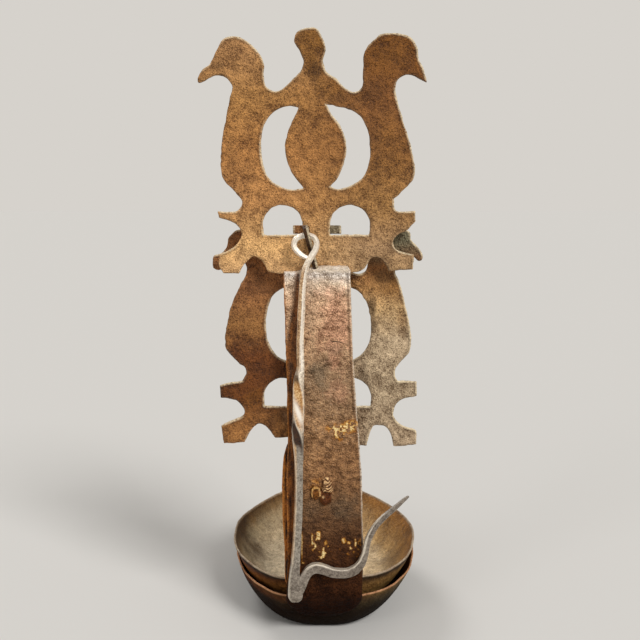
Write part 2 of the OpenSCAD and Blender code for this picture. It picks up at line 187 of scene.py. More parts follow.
def piece(name, points, faces, body, slot, finish, nodes, **marks):
    """Makes a piece of arrays: points in millimetres, faces of three or four corners, and a value at each point for
    every mark that its finish reads."""
    mesh = bpy.data.meshes.new(name)
    mesh.from_pydata((points * MM).tolist(), [], faces if isinstance(faces, list) else faces.tolist())
    mesh.polygons.foreach_set("use_smooth", np.ones(len(mesh.polygons), bool))
    for mark, values in marks.items():
        mesh.attributes.new(mark, "FLOAT", "POINT").data.foreach_set("value", values.astype(np.float32))
    mesh.materials.append(finish)
    made = bpy.data.objects.new(name, mesh)
    bpy.context.scene.collection.objects.link(made)
    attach(made, body)
    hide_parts(*nodes)
    return made


# Finishes

def linear(hex_code, alpha=1.0):
    """An sRGB hex colour as the linear one that Blender reads."""
    c = np.array([int(hex_code[k:k + 2], 16) for k in (1, 3, 5)]) / 255
    return (*np.where(c <= 0.04045, c / 12.92, ((c + 0.055) / 1.055) ** 2.4), alpha)


def add(tree, kind, inputs=None, stops=None, **settings):
    """Adds a node. Inputs go by name or number and are values or the outputs that feed them; stops are a ramp's, in
    rising order."""
    node = tree.nodes.new("ShaderNode" + kind)
    for key, value in settings.items():
        setattr(node, key, value)
    for key, value in (inputs or {}).items():
        if isinstance(value, bpy.types.NodeSocket):
            tree.links.new(value, node.inputs[key])
        else:
            node.inputs[key].default_value = value
    if stops:
        marks = node.color_ramp.elements
        marks.remove(marks[1])
        for k, (at, colour) in enumerate(stops):
            mark = marks.new(at) if k else marks[0]
            mark.position, mark.color = at, linear(colour)
    return node


def blank(name):
    """A new material with its own shader, and its node tree."""
    material = bpy.data.materials.new(name)
    material.use_nodes = True
    tree = material.node_tree
    tree.nodes.clear()
    shader = add(tree, "BsdfPrincipled")
    tree.links.new(shader.outputs[0], add(tree, "OutputMaterial").inputs[0])
    return material, tree, shader


def blend(tree, factor, a, b, kind="MIX"):
    """Mixes two colours by a factor."""
    node = add(tree, "Mix", {0: factor, 6: a, 7: b}, data_type="RGBA", blend_type=kind)
    return node.outputs[2]


def read(tree, mark):
    """A mark that the piece carries at each of its points."""
    return add(tree, "Attribute", attribute_name=mark).outputs["Fac"]


def old_iron(name, tint, seed, size, stretch=(1, 1, 1), turn=0.0, spread=1.0, pit=0.5, worn="#e6d3b0", rub=0.4,
             gloss=0.62, metal=0.05, relief=0.8, shine=0.25, deep=1.5):
    """Old forged iron. tint is its mean colour, or a rule that gives it. Patches of that size in millimetres, swells
    a third of it, grains of 1.1 mm and grit of 0.5 mm lighten and darken it, pits are nearly black, and the marked
    edges are pale: rubbed, and on some pieces given a painted highlight. Grains may be
    drawn out and turned both ways, as hammering and filing leave them."""
    material, tree, shader = blank(name)
    where = add(tree, "TexCoord").outputs["Object"]
    patch = add(tree, "TexNoise", {"Vector": where, "Scale": 1 / (size * MM), "Detail": 4, "Roughness": 0.6}).outputs[0]
    swell = add(tree, "TexNoise", {"Vector": where, "Scale": 3 / (size * MM), "Detail": 3, "Roughness": 0.6}).outputs[0]
    grains = []
    for k in (-1, 1):
        laid = add(tree, "Mapping", {"Vector": where, "Location": (seed * k, seed, 0), "Rotation": (0, k * turn, 0),
                                     "Scale": stretch}, vector_type="TEXTURE").outputs[0]
        grains.append(add(tree, "TexNoise", {"Vector": laid, "Scale": 1 / (1.1 * MM), "Detail": 3,
                                             "Roughness": 0.6}).outputs[0])
    grit = add(tree, "TexNoise", {"Vector": where, "Scale": 1 / (0.5 * MM), "Detail": 1, "Roughness": 0.5}).outputs[0]
    light, height = 0.5 - 2.6 * spread, 0.0
    for part, share, lift in ((patch, 1.3, 0.6), (swell, 1.4, 1.3), (grains[0], 0.45, 0.45), (grains[1], 0.45, 0.45),
                              (grit, 1.6, 0.3)):
        light = add(tree, "Math", {0: part, 1: share * spread, 2: light}, operation="MULTIPLY_ADD").outputs[0]
        height = add(tree, "Math", {0: part, 1: lift, 2: height}, operation="MULTIPLY_ADD").outputs[0]
    light = add(tree, "Clamp", {0: light}).outputs[0]
    mean = tint(tree, where, patch) if callable(tint) else linear(tint)
    colour = blend(tree, light, blend(tree, 1.0, mean, (0.36, 0.3, 0.25, 1), "MULTIPLY"),
                   blend(tree, 1.0, mean, (1.72, 1.8, 1.95, 1), "MULTIPLY"))
    pits = add(tree, "MapRange", {0: grit, 1: 0.36, 2: 0.27, 3: 0, 4: pit}).outputs[0]
    colour = blend(tree, pits, colour, blend(tree, 1.0, mean, (0.25, 0.19, 0.13, 1), "MULTIPLY"))
    # Pale edges where a piece marks them: rubbed metal, and on some pieces a painted highlight.
    rubbed = add(tree, "MapRange", {0: grains[0], 1: 0.28, 2: 0.52, 3: 0, 4: rub}).outputs[0]
    rubbed = add(tree, "Math", {0: rubbed, 1: read(tree, "wear")}, operation="MULTIPLY").outputs[0]
    colour = blend(tree, rubbed, colour, linear(worn))
    bump = add(tree, "Bump", {"Height": height, "Strength": relief, "Distance": deep * MM}).outputs[0]
    rough = add(tree, "MapRange", {0: light, 3: gloss - 0.13, 4: gloss + 0.13}).outputs[0]
    for key, value in {"Base Color": colour, "Roughness": rough, "Normal": bump}.items():
        tree.links.new(value, shader.inputs[key])
    shader.inputs["Metallic"].default_value = metal
    shader.inputs["Specular IOR Level"].default_value = shine
    return material, tree, shader, colour, where, light


def by_height(tree, where, patch, low, high, stops, drift=10):
    """Colours that follow one another up the piece between two heights in millimetres. Patches shift their borders
    by up to half the drift."""
    z = add(tree, "SeparateXYZ", {0: where}).outputs[2]
    z = add(tree, "Math", {0: patch, 1: drift * MM, 2: z}, operation="MULTIPLY_ADD").outputs[0]
    share = add(tree, "MapRange", {0: z, 1: (low + drift / 2) * MM, 2: (high + drift / 2) * MM}).outputs[0]
    return add(tree, "ValToRGB", {0: share}, stops=stops).outputs[0]


def spots(p, places, seed, ragged=0.35):
    """How far inside the nearest of some oval patches each point is, from 0 to its strength, with a ragged border.
    Each place is [x, z, half width, half height, strength]."""
    wander = ragged * noise(p, 4, seed) + 0.6 * ragged * noise(p, 1.5, seed)
    mark = np.zeros(len(p))
    for x, z, w, h, full in places:
        k = 1 - np.hypot((p[:, 0] - x) / w, (p[:, 2] - z) / h) + wander
        mark = np.maximum(mark, full * np.clip(1.6 * k, 0, 1))
    return mark


# Bird plates

# Outlines in [x, z] from the middle of the feet, clockwise from the finial's left foot. A point given twice is a corner.
UPPER_OUTLINE = [
    [-4.5, 87.5], [-6.2, 91.6], [-8.6, 95.4], [-7.6, 98.4], [-5.6, 100.1], [-2.4, 100.8], [0.4, 100.5],
    [2.2, 98.2], [4.3, 92.8], [3.1, 87.5], [4.6, 83], [8.5, 80.3], [12.4, 76.6], [16.4, 75], [19.6, 77.6],
    [20, 85], [20.5, 91.4], [26, 97.4], [31, 98.6], [38.4, 97.2], [41.8, 92.8], [42.4, 88.6], [44.6, 84],
    [46, 79], [46, 79], [42.4, 80.7], [38.5, 82.1], [34.2, 80.4], [33, 75], [35.5, 66.3], [39, 55.5], [41.4, 45],
    [40.6, 39], [36.4, 34.5], [32.7, 31.4], [32.7, 31.4], [34, 26.3], [41.9, 26], [41.9, 26], [42.1, 22], [42.1, 22],
    [38.5, 18.3], [34.4, 16.2], [32.8, 12.4], [35.5, 9.2], [41.7, 7.9], [41.7, 7.9], [41.3, 1.5], [41.3, 1.5],
    [31.2, 1], [31.2, 1], [29.4, 4.4], [27, 6.8], [23.5, 6.4], [21, 2.4], [18, 0.6], [14.8, 0.2], [14.8, 0.2],
    [-15.6, 0], [-15.6, 0], [-19.8, 0.8], [-22, 4.6], [-26, 7.2], [-30, 4.2], [-32.4, 0], [-32.4, 0],
    [-38.9, 0], [-38.9, 0], [-40.3, 3], [-40.5, 7.9], [-40.5, 7.9], [-34, 11], [-31.2, 15.4], [-31.5, 18.6],
    [-34.3, 21.5], [-40.3, 23.5], [-40.3, 23.5], [-40.9, 25.9], [-40.9, 25.9], [-37.2, 25.8], [-33, 26],
    [-30.8, 28.4], [-30.6, 30.8], [-33.5, 34.3], [-37.5, 38.3], [-39.3, 45], [-38.6, 55], [-36.8, 65], [-35.2, 72.5],
    [-34.1, 77], [-36.4, 80.8], [-40.5, 82.1], [-44.5, 80.6], [-47.9, 78.9], [-48.3, 80.2], [-46.4, 83.8],
    [-43.3, 86], [-42.2, 88], [-38.3, 95.3], [-33.5, 97.2], [-28, 95.4], [-22.6, 89.9], [-21.1, 86], [-21.3, 81.5],
    [-20.1, 77.2], [-16.5, 75.4], [-13, 76.8], [-9, 80.4], [-5.6, 83.8]
]
LOWER_OUTLINE = [
    [-3.6, 85.7], [-4.6, 89], [-6, 92], [-4.2, 95.6], [-1.2, 96.2], [0.4, 94], [1.2, 90], [0.8, 85.7],
    [4.6, 82.6], [8.5, 79.9], [12.4, 76], [16.4, 74], [19.6, 74.4], [21.4, 77], [21.6, 82], [22.2, 87.5], [25.5, 91.4],
    [29.5, 93.1], [35, 93.3], [39, 92.1], [40, 88.3], [43.8, 84.3], [44.8, 81.2], [43.2, 79.7], [41.2, 81.4],
    [38, 82], [34.5, 80], [33, 75], [34.6, 71], [36.7, 64.1], [38.9, 55], [40.1, 47.1], [39.9, 41.6], [37.8, 37.6],
    [33.7, 33.4], [33.3, 30], [34.8, 27.1], [34.8, 27.1], [42.1, 27.2], [42.8, 26.2], [42.8, 21.6], [42.2, 20.9],
    [38.6, 20], [35.2, 18.6], [32.9, 15.6], [33, 11.6], [36.2, 7.9], [41.6, 5.8], [42.9, 4.4], [43, -0.6], [43, -0.6],
    [33.2, -1.4], [33.2, -1.4], [32, 3.6], [29.2, 7.5], [24.6, 7.8], [22.4, 4.8], [21.1, -1.2], [21.1, -1.2],
    [14.6, -1.2], [14.6, -1.2], [-11, 0], [-11, 0], [-11.4, 2.5], [-11.4, 2.5], [-18.9, 2.3], [-18.9, 2.3],
    [-22.2, 6.8], [-26.2, 8.5], [-30, 5.2], [-32.4, 0.3], [-32.4, 0.3], [-41.4, -0.3], [-41.4, -0.3],
    [-42.5, 7.6], [-42.5, 7.6], [-36.9, 9.9], [-32.8, 11.9], [-32.3, 15], [-35.2, 18.6], [-38.7, 19.8],
    [-42.4, 20.2], [-42.4, 20.2], [-42.9, 25.3], [-42.9, 25.3], [-38.6, 26.4], [-32.9, 27.2], [-32.9, 27.2],
    [-31, 31], [-32, 33.8], [-35, 35.9], [-39.4, 41.2], [-40.3, 46], [-39.4, 52], [-38.2, 58], [-36.2, 63.6],
    [-33.8, 68.9], [-31.5, 72.8], [-30.7, 76], [-31.9, 79.4], [-35, 80.6], [-38.5, 78.8], [-42.4, 75.8],
    [-45.2, 76.6], [-45.2, 76.6], [-44.9, 81.5], [-41.7, 82.8], [-39.6, 85.2], [-38.3, 89.6], [-35.8, 92.3],
    [-32.8, 93.1], [-28.5, 92.8], [-24, 90.6], [-21.4, 86], [-21.2, 81.5], [-20.2, 77], [-17, 75], [-13, 76.3],
    [-9, 79.8], [-5.6, 82.6]
]
# The two crescents that leave an oval standing between them
LEFT_CRESCENT = [
    [-6.4, 69], [-6.4, 69], [-10, 69.6], [-14.5, 68.5], [-18.6, 66], [-21.3, 61.8], [-22.7, 55], [-22.6, 49],
    [-21.2, 43], [-18.4, 38.8], [-14, 36.1], [-9.5, 35.1], [-4.9, 35.7], [-4.9, 35.7], [-7.6, 39.4],
    [-10.6, 44.1], [-12.5, 51], [-12, 56.4], [-10.3, 61.6], [-7.7, 66.4]
]
RIGHT_CRESCENT = [
    [4.4, 70.4], [4.4, 70.4], [9, 69.4], [14.3, 68.1], [18.6, 65.6], [21.5, 61], [22.9, 54], [22.9, 47.5],
    [21.3, 42], [18, 38.3], [13.6, 36.1], [9.5, 35.3], [6.2, 36.4], [6.2, 36.4], [9.3, 40.4], [11.9, 46.4],
    [13, 52], [12.2, 57], [10, 61.6], [7, 65.4]
]
ARCH_W, ARCH_H, ARCH_FOOT = 17, 12.8, 16.1
TONGUE_DROP = 14
SLOT_X, SLOT_Z, SLOT_W, SLOT_H = LINK_X - UPPER_X, LINK_Z - UPPER_Z, 2.3, 2.8
# Pits rusted into the face: [x, z, radius]
PITS = [[41.4, 90.2, 1], [42.6, 88.2, 0.7], [9.4, 10.6, 0.6], [10.7, 9.3, 0.7], [8.3, 11.9, 0.5], [12, 6.6, 0.5]]


def box2(p, w, h):
    """Distance to a flat box of that width and height about the origin."""
    q = np.abs(p) - np.array([w, h]) / 2
    return np.hypot(np.maximum(q[..., 0], 0), np.maximum(q[..., 1], 0)) + np.minimum(q.max(-1), 0)


def arch(p):
    """Distance to an arch: a half circle on a box, with its two feet a little rounded."""
    r = ARCH_W / 2
    over = np.hypot(p[..., 0], np.maximum(p[..., 1] - (ARCH_H - r), 0)) - r
    return meet(np.maximum(over, np.abs(p[..., 0]) - r), -p[..., 1], 0.8)


def plate_chart(outline, tongue_w, tongue_x, arches, slot):
    """The flat shape of a plate: its outline and tongue, less the crescents, the arches and the slot."""
    line, left, right = smooth(outline), smooth(LEFT_CRESCENT), smooth(RIGHT_CRESCENT)

    def rule(p):
        tongue = box2(p - [tongue_x, 0], tongue_w, 2 * TONGUE_DROP)
        shape = np.minimum(line_distance(p, line), tongue)
        shape = np.maximum(shape, -np.minimum(line_distance(p, left), line_distance(p, right)))
        for x in arches:
            shape = np.maximum(shape, -arch(p - [x, ARCH_FOOT]))
        if slot:
            shape = np.maximum(shape, -box2(p - [SLOT_X, SLOT_Z], SLOT_W, SLOT_H))
        return shape
    return Chart((-50, -16), (50, 103), rule)


def plate_field(chart, seed, pits):
    """A cut sheet: the flat shape, wandering a little as a chisel does, met with the two faces. The sheet is gently
    buckled, and its faces are dented by the hammer and pitted by rust, each pit a bell-shaped hollow."""
    def field(p):
        flat = p[..., [0, 2]]
        cut = chart(flat) - 0.12 + 0.2 * noise(flat, 4.5, seed) + 0.16 * noise(flat, 1.6, seed + 1)
        middle = PLATE_T / 2 + 0.2 * noise(flat, 34, seed + 2)
        dents = 0.14 * noise(p, 6, seed + 3) + 0.13 * noise(p, 2.4, seed + 4) + 0.08 * noise(p, 1.2, seed + 5)
        for x, z, r in pits:
            dents = dents + 0.7 * np.exp(-((flat[..., 0] - x) ** 2 + (flat[..., 1] - z) ** 2) / r**2)
        return meet(cut, np.abs(p[..., 1] - middle) - PLATE_T / 2 + 0.1 + dents, 0.35)
    return field


def make_plate(name, outline, tongue, arches, slot, pits, soot, rust, seed, place, body, slot_name, finish, node):
    """A bird plate, made lying at its own feet and then put in place. Its edges are a little rubbed and carry a
    painted highlight where they face up and to the right; painted shade lies in a dark line just inside them and is
    darker along those that face down."""
    chart = plate_chart(outline, *tongue, arches, slot)
    points, faces = net(plate_field(chart, seed, pits), (-50, -1.2, -15.5), (47.5, 3.4, 102), 0.44)
    flat = points[:, [0, 2]]
    depth = -chart(flat)
    facing = np.stack([chart(flat + e) - chart(flat - e) for e in np.eye(2) * 0.5], -1).clip(-1, 1)
    lit = facing @ [0.5, 0.8]
    placed = place(points)
    # Pale edges: a little all round, and full where they face up and to the right as a painted highlight.
    wear = np.clip(1.3 - depth / 0.5, 0, 1) * np.clip(0.15 + 1.1 * lit, 0.05, 1)
    ragged = 0.6 + 0.5 * noise(points, 2.2, seed + 6)
    # Painted shade: a dark line just inside every edge, and more along the edges that face down.
    shade = 0.55 * np.exp(-((depth - 0.9) / 0.45) ** 2) * np.clip(0.6 + lit, 0.2, 1)
    shade = np.maximum(shade, 0.7 * np.clip(1 - depth / 1.4, 0, 1) * np.clip(-lit, 0, 1)) * ragged
    # The plate's dark mark holds its sooty spots and the painted edge shade together.
    return piece(name, placed, faces, body, slot_name, finish, [node], wear=wear,
                 soot=np.maximum(spots(placed, soot, seed), shade), rust=spots(placed, rust, seed + 1))


def upper_place(p):
    """The upper plate stands in front of the strap's top."""
    return p + [UPPER_X, -PAN_BACK, UPPER_Z]


def leaning(p):
    """The inner unit's strap and plate lean towards the spout about the inner pan's rim."""
    c, s = math.cos(LEAN), math.sin(LEAN)
    y, z = p[:, 1], p[:, 2]
    return np.stack([p[:, 0], INNER_RIM_Y + y * c + z * s, INNER_RIM_Z + z * c - y * s], 1)


def lower_place(p):
    """The lower plate stands on the inner strap."""
    return leaning(p + [LOWER_X, 0, LOWER_Z - INNER_RIM_Z])


# Straps

def wall_run(u):
    """How far a pan's wall has run in at share u of its depth: a flare that turns under in a quarter round."""
    return 0.45 * u + 0.55 * (1 - np.sqrt(1 - np.clip(u, 0, 1) ** 2))


WIDEST_Y = 7


def bow(x, u):
    """How far the pan's oval back has curved away from its seat at x and share u of its depth."""
    run = wall_run(u)
    seat, side, back = SEAT_W / 2 - SEAT_IN * run, PAN_W / 2 - SIDE_IN * run, PAN_BACK - BACK_IN * run + WIDEST_Y
    k = np.clip((np.abs(x) - seat) / (side - seat), 0, 0.9)
    return back * (1 - np.sqrt(1 - k * k))


def strap_field(left, right, top, rear_y, lean, tail_w, seed, top_round, rim_z, hole=None):
    """A strap between its two edges, with a tail that is bowed round the pan's wall down to a round end and scarfed
    thin there. left and right are its edges at even steps above the rim, top its height, and top_round the rounding
    of its top."""
    heights = np.linspace(0, top, len(left))

    def field(p):
        x, z = p[..., 0], p[..., 2] - rim_z
        wander = 0.2 * noise(p, 7, seed) + 0.12 * noise(p, 1.8, seed + 1)
        sides = np.maximum(np.interp(z, heights, left) - x, x - np.interp(z, heights, right))
        tail = (np.hypot(x / (tail_w / 2), np.minimum(z, 0) / TAIL_DROP) - 1) * TAIL_DROP * 0.8
        sides = np.where(z < 0, np.maximum(tail, sides), sides) + wander
        u = np.clip(-z / PAN_DEPTH, 0, 1)
        run = BACK_IN * wall_run(u) + np.maximum(z, 0) * math.tan(lean) + bow(x, u) * np.clip(1 - z / 14, 0, 1)
        off = p[..., 1] - (rear_y + STRAP_T / 2) - run
        scarf = 1.3 * np.clip((-z - 3) / (TAIL_DROP - 3), 0, 1)
        grain = p * [0.5, 1, 1]
        hammered = 0.12 * noise(p, 9, seed + 2) + 0.07 * noise(grain, 2.2, seed + 3) + 0.06 * noise(p, 1.1, seed + 4)
        strap = meet(sides, meet(scarf - off - STRAP_T / 2 + hammered, off - STRAP_T / 2, 0.35), 0.35)
        strap = meet(strap, np.maximum(z - top, -z - TAIL_DROP - 0.4), top_round)
        if hole is not None:
            low, high = hole
            window = np.maximum(np.abs(x - ARM_X) - ARM_T / 2 - 1, np.maximum(low - p[..., 2], p[..., 2] - high))
            strap = meet(strap, -window, 0.2)
        return strap
    return field


# Edges of the straps from rim to top, as [left, right] at even steps
OUTER_EDGES = np.array([[-16.6, 17], [-15.7, 17.4], [-15.9, 17], [-16.1, 16.4], [-15.5, 15.3], [-15.7, 13.7],
                        [-16.1, 12.6], [-16.5, 11.8], [-17.1, 11.3]])
INNER_EDGES = np.array([
    [-17.2, 17.2], [-17.3, 17.2], [-17.4, 17.2], [-17.6, 17.1], [-17.9, 17], [-18, 16.7], [-18.1, 16.4],
    [-18.15, 15.8], [-18.1, 15.2], [-17.5, 14.6], [-15.9, 14]
])


def braze_run(p, seed=31):
    """The run of spelter over the strap's top: a low bead that lies on the plate and the strap, and is fuller on the
    right. Its section is a flat oval whose height and thickness follow the strap's width."""
    x, z = p[..., 0], p[..., 2] - UPPER_Z
    top = np.interp(x, [-17, -11, -8, -4, 4, 10, 11.4], [0.9, 1.2, 1.7, 3.1, 3.2, 3.3, 1.2])
    foot = -0.7
    thick = np.interp(x, [-17, -8, 0, 10], [0.35, 0.5, 0.95, 0.9])
    top = top + 0.25 * noise(p, 3.2, seed + 1)
    z = (z - (top + foot) / 2) / ((top - foot) / 2)
    y = (p[..., 1] - REAR_Y - 1.7) / (thick + 1.7)
    bead = (np.abs(z) ** 3 + np.abs(y) ** 3) ** (1 / 3) - 1
    return np.maximum(bead, np.maximum(-16.8 - x, x - 11.2)) + 0.1 * noise(p, 1.4, seed)


# Golden patches painted on the strap as reflections on its oily face: [x, z, half width, half height, strength]
DABS = [
    [-5.1, 46.8, 0.6, 3.4, 1], [-2.2, 48.9, 1.3, 2.3, 0.85], [0.9, 45.6, 0.9, 1.5, 0.7], [0, 42.6, 0.6, 1.1, 0.8],
    [-0.1, 40.6, 0.9, 2.1, 1], [-1, 38.9, 0.8, 0.8, 0.8], [8.8, 46.4, 1.2, 1.5, 0.8], [11, 45.7, 1.1, 1.1, 0.8],
    [13.9, 45.5, 0.6, 2.4, 1], [16, 45.6, 0.35, 2, 0.6], [-9.5, 43.7, 0.4, 6.6, 1], [-9, 36.4, 0.7, 0.6, 0.8],
    [13.2, 41.4, 0.6, 0.6, 0.5], [14.6, 39.2, 0.5, 0.5, 0.5]
]
# Stretches of strap sprinkled with painted golden reflections: [x, z, half width, half height, how sparse]
SPRINKLED = [
    [8, 96.8, 7.4, 2.4, -0.08], [12, 99, 3.8, 1.8, -0.04], [6.6, 95, 3.4, 3.8, 0.02], [-1.5, 44, 5, 6, 0.36],
    [11.5, 44, 5, 4.5, 0.36]
]
NUB_X, NUB_Z = -2.6, 71.5


def brass_mark(p):
    """How strongly the strap shows painted golden reflections at each point: dabs, a broken sprinkling and a painted
    glow over the arm's end.
    """
    x, z = p[:, 0], p[:, 2]
    rear = np.clip((REAR_Y + 0.9 - p[:, 1]) / 0.5, 0, 1)
    broken = noise(p, 1.1, 41) * 0.6 + noise(p, 0.7, 42) * 0.5
    mark = np.zeros(len(p))
    for cx, cz, rx, rz, full in DABS:
        k = 1 - np.hypot((x - cx) / rx, (z - cz) / rz)
        mark = np.maximum(mark, full * np.clip(2.2 * (k + 0.45 * broken) + 0.1, 0, 1))
    for cx, cz, rx, rz, sparse in SPRINKLED:
        k = np.clip(1.6 - 1.2 * np.hypot((x - cx) / rx, (z - cz) / rz), 0, 1)
        mark = np.maximum(mark, np.clip(9 * (broken - sparse), 0, 1) * k)
    halo = 1 - np.hypot((x - NUB_X) / 5.5, (z - NUB_Z) / 4.5)
    return np.maximum(mark, np.clip(0.6 + 1.5 * broken, 0, 1) * np.clip(halo * 1.5, 0, 0.5)) * rear


CRACK_X, CRACK_Z = (2.1, 8.5), 134.6


def crack_mark(p):
    """A short crack across the strap: nearly level, and widest in its middle."""
    x, z = p[:, 0], p[:, 2]
    line = CRACK_Z + 0.25 * np.sin((x - CRACK_X[0]) * 0.7)
    along = np.clip(np.minimum(x - CRACK_X[0], CRACK_X[1] - x) / 1.5, 0, 1)
    return np.clip(1.2 - np.abs(z - line) / 0.34, 0, 1) * along * (p[:, 1] < REAR_Y + 0.8)


# Pans

def half_ring(p):
    """Right half of a pan's ring at each level, from the middle of its seat to the tip of its spout: the seat, a
    quarter of an oval to the widest point, a cosine flank to the spout, and the spout's quarter round."""
    w, back, front, seat, tip = (p[:, k:k + 1] for k in range(5))
    k = np.arange(14) / 14
    a = math.pi / 2 * (1 - np.arange(34) / 34)
    s = np.arange(64) / 64
    b = math.pi / 2 * np.linspace(0, 1, 16)
    x = [seat * k, seat + (w - seat) * np.cos(a), tip + (w - tip) * np.cos(math.pi / 2 * s), tip * np.cos(b)]
    y = [-back + 0 * k, WIDEST_Y - (back + WIDEST_Y) * np.sin(a), WIDEST_Y + (front - WIDEST_Y) * s,
         front + tip * np.sin(b)]
    return np.stack([np.concatenate(x, 1), np.concatenate(y, 1)], -1)


def pan_mesh(rim, base_z, aside, seed):
    """A hammered pan: rings over its outside from the middle of its foot to its rim, over the rim in a half round,
    and down the inside. Each ring is a scaled copy on the foot and follows the wall's curve above it. The wall is
    thinner at the rim. Its dents, its wavy rim, the dip beside the strap and its lean aside are added last."""
    run = np.array([SIDE_IN, BACK_IN, FRONT_IN, SEAT_IN, TIP_IN], float)
    thin = np.array([PAN_WALL, PAN_WALL, 0, PAN_WALL / 2, PAN_WALL])
    wall_steps, foot_steps, lip_steps = 44, 16, 8
    u = np.sin(math.pi / 2 * np.linspace(1, 0, wall_steps))
    shares = np.linspace(0.04, 1, foot_steps)[:-1]
    lip = math.pi * np.linspace(0, 1, lip_steps)[1:-1]
    edge = 0.62
    wall = (edge + (1 - edge) * np.clip(u[::-1] / 0.3, 0, 1))[:, None]
    outside = rim - run * wall_run(u)[:, None]
    inside = rim - thin * wall - run * wall_run(u[::-1])[:, None]
    over = rim - thin * edge * ((1 - np.cos(lip)) / 2)[:, None]
    specs = [
        (np.repeat(outside[:1], len(shares), 0), shares, np.full(len(shares), base_z)),
        (outside, np.ones(wall_steps), base_z + PAN_DEPTH * (1 - u)),
        (over, np.ones(len(lip)), base_z + PAN_DEPTH + 0.4 * np.sin(lip)),
        (inside, np.ones(wall_steps), base_z + PAN_DEPTH - (PAN_DEPTH - PAN_WALL) * u[::-1]),
        (np.repeat(inside[-1:], len(shares), 0), shares[::-1], np.full(len(shares), base_z + PAN_WALL))
    ]
    p, k, z = (np.concatenate(v) for v in zip(*specs))
    ring = half_ring(p)
    ring = np.concatenate([ring, ring[:, -2:0:-1] * [-1, 1]], 1)
    middle = np.array([0, 8.0])
    ring = middle + (ring - middle) * k[:, None, None]
    levels, around = ring.shape[:2]
    points = np.concatenate([ring, np.broadcast_to(z[:, None, None], (levels, around, 1))], -1)
    up = ((points[..., 2] - base_z) / PAN_DEPTH).clip(0, 1)
    out = ring - middle
    out = out / np.maximum(np.linalg.norm(out, axis=-1, keepdims=True), 1)
    dents = 0.34 * noise(points, 17, 91) + 0.16 * noise(points, 6, 92) + 0.07 * noise(points, 2.4, seed + 2)
    seat = np.clip((-ring[..., 1] - PAN_BACK + 8) / 5, 0, 1)
    points[..., :2] += out * (dents * up * (1 - seat))[..., None]
    x, y = ring[..., 0], ring[..., 1]
    dip = -0.5 - 0.6 * np.exp(-((x + 20) / 9) ** 2) * np.clip((-y - 30) / 20, 0, 1)
    points[..., 2] += (0.4 * noise(ring, 21, seed + 3) + 0.16 * noise(ring, 4, seed + 4) + dip) * up**3
    inner_floor = (np.arange(levels) >= levels - foot_steps)[:, None] & (np.ones(around, bool))
    points[..., 2] += np.where(inner_floor, 0.12 * noise(points, 5, seed + 5), 0)
    points[..., 0] += aside * up * (1 - seat)
    grid = np.arange(levels * around).reshape(levels, around)
    a, b = grid[:-1], grid[1:]
    quads = np.stack([a, np.roll(a, -1, 1), np.roll(b, -1, 1), b], -1).reshape(-1, 4)
    poles = np.array([points[0].mean(0), points[-1].mean(0)])
    caps = [[levels * around, int(j), int(i)] for i, j in zip(grid[0], np.roll(grid[0], -1))]
    caps += [[levels * around + 1, int(i), int(j)] for i, j in zip(grid[-1], np.roll(grid[-1], -1))]
    first_in = len(shares) + wall_steps + len(lip) / 2
    level = np.repeat(np.arange(levels), around)
    inner = np.append((level > first_in).astype(float), [0, 1])
    rise = np.append(np.repeat(((z - base_z) / PAN_DEPTH).clip(0, 1.05), around), [0, 0])
    wear = np.clip((rise - 0.985) / 0.02, 0, 1)
    return np.vstack([points.reshape(-1, 3), poles]), quads.tolist() + caps, inner, rise, wear


def make_pan(name, rim, base_z, aside, blotches, seed, body, slot, finish, node):
    """A pan with marks for its inside, for its height, for its worn rim and for the blotches of burnt oil in it."""
    points, faces, inner, rise, wear = pan_mesh(np.array(rim, float), base_z, aside, seed)
    cloud = np.zeros(len(points))
    for x, y, r, full in blotches:
        k = 1 - np.hypot(points[:, 0] - x, points[:, 1] - y) / r + 0.5 * noise(points, 9, seed) + 0.2 * noise(points, 3, seed)
        cloud = np.maximum(cloud, full * np.clip(1.5 * k, 0, 1))
    return piece(name, points, faces, body, slot, finish, [node], inner=inner, rise=rise, wear=wear, burnt=cloud * inner)


LIFT_RUN = float(wall_run(np.array(NEST_LIFT / PAN_DEPTH)))
OUTER_RIM = [PAN_W / 2 - 0.2, PAN_BACK, PAN_FRONT, SEAT_W / 2, SPOUT_W / 2]
INNER_RIM = [
    PAN_W / 2 - PAN_WALL - NEST_GAP + SIDE_IN * LIFT_RUN + 0.4, -INNER_RIM_Y, PAN_FRONT + FRONT_IN * LIFT_RUN,
    SEAT_W / 2, SPOUT_W / 2 - PAN_WALL - NEST_GAP + TIP_IN * LIFT_RUN
]


# Ratchet arm

def solid_box(p, low, high, r):
    """A box with edges rounded to radius r."""
    middle, half = (np.array(high) + low) / 2, (np.array(high) - low) / 2
    q = np.abs(p - middle) - half + r
    return np.linalg.norm(np.maximum(q, 0), axis=-1) + np.minimum(q.max(-1), 0) - r


ARM_FOOT = ARM_TOP - ARM_H
NOTCH_START, NOTCH_W, NOTCH_SLOPE, LIP_L, LIP_TIP, LIP_RISE = 1.7, 3.2, 2, 5, 1, 3
ARM_L = NOTCH_START + NOTCHES * NOTCH_PITCH + LIP_L


def arm_outline():
    """Side outline of the notched arm, as [y, z] from its foot at the strap."""
    line = [[0, 0], [ARM_L - LIP_L, 0], [ARM_L, ARM_H / 2], [ARM_L, ARM_H + LIP_RISE], [ARM_L - LIP_TIP, ARM_H + LIP_RISE]]
    for i in reversed(range(NOTCHES)):
        y = NOTCH_START + i * NOTCH_PITCH
        line += [[y + NOTCH_W + NOTCH_SLOPE, ARM_H], [y + NOTCH_W, ARM_H - NOTCH_D], [y, ARM_H - NOTCH_D], [y, ARM_H]]
    return np.array(line + [[0, ARM_H]], float)


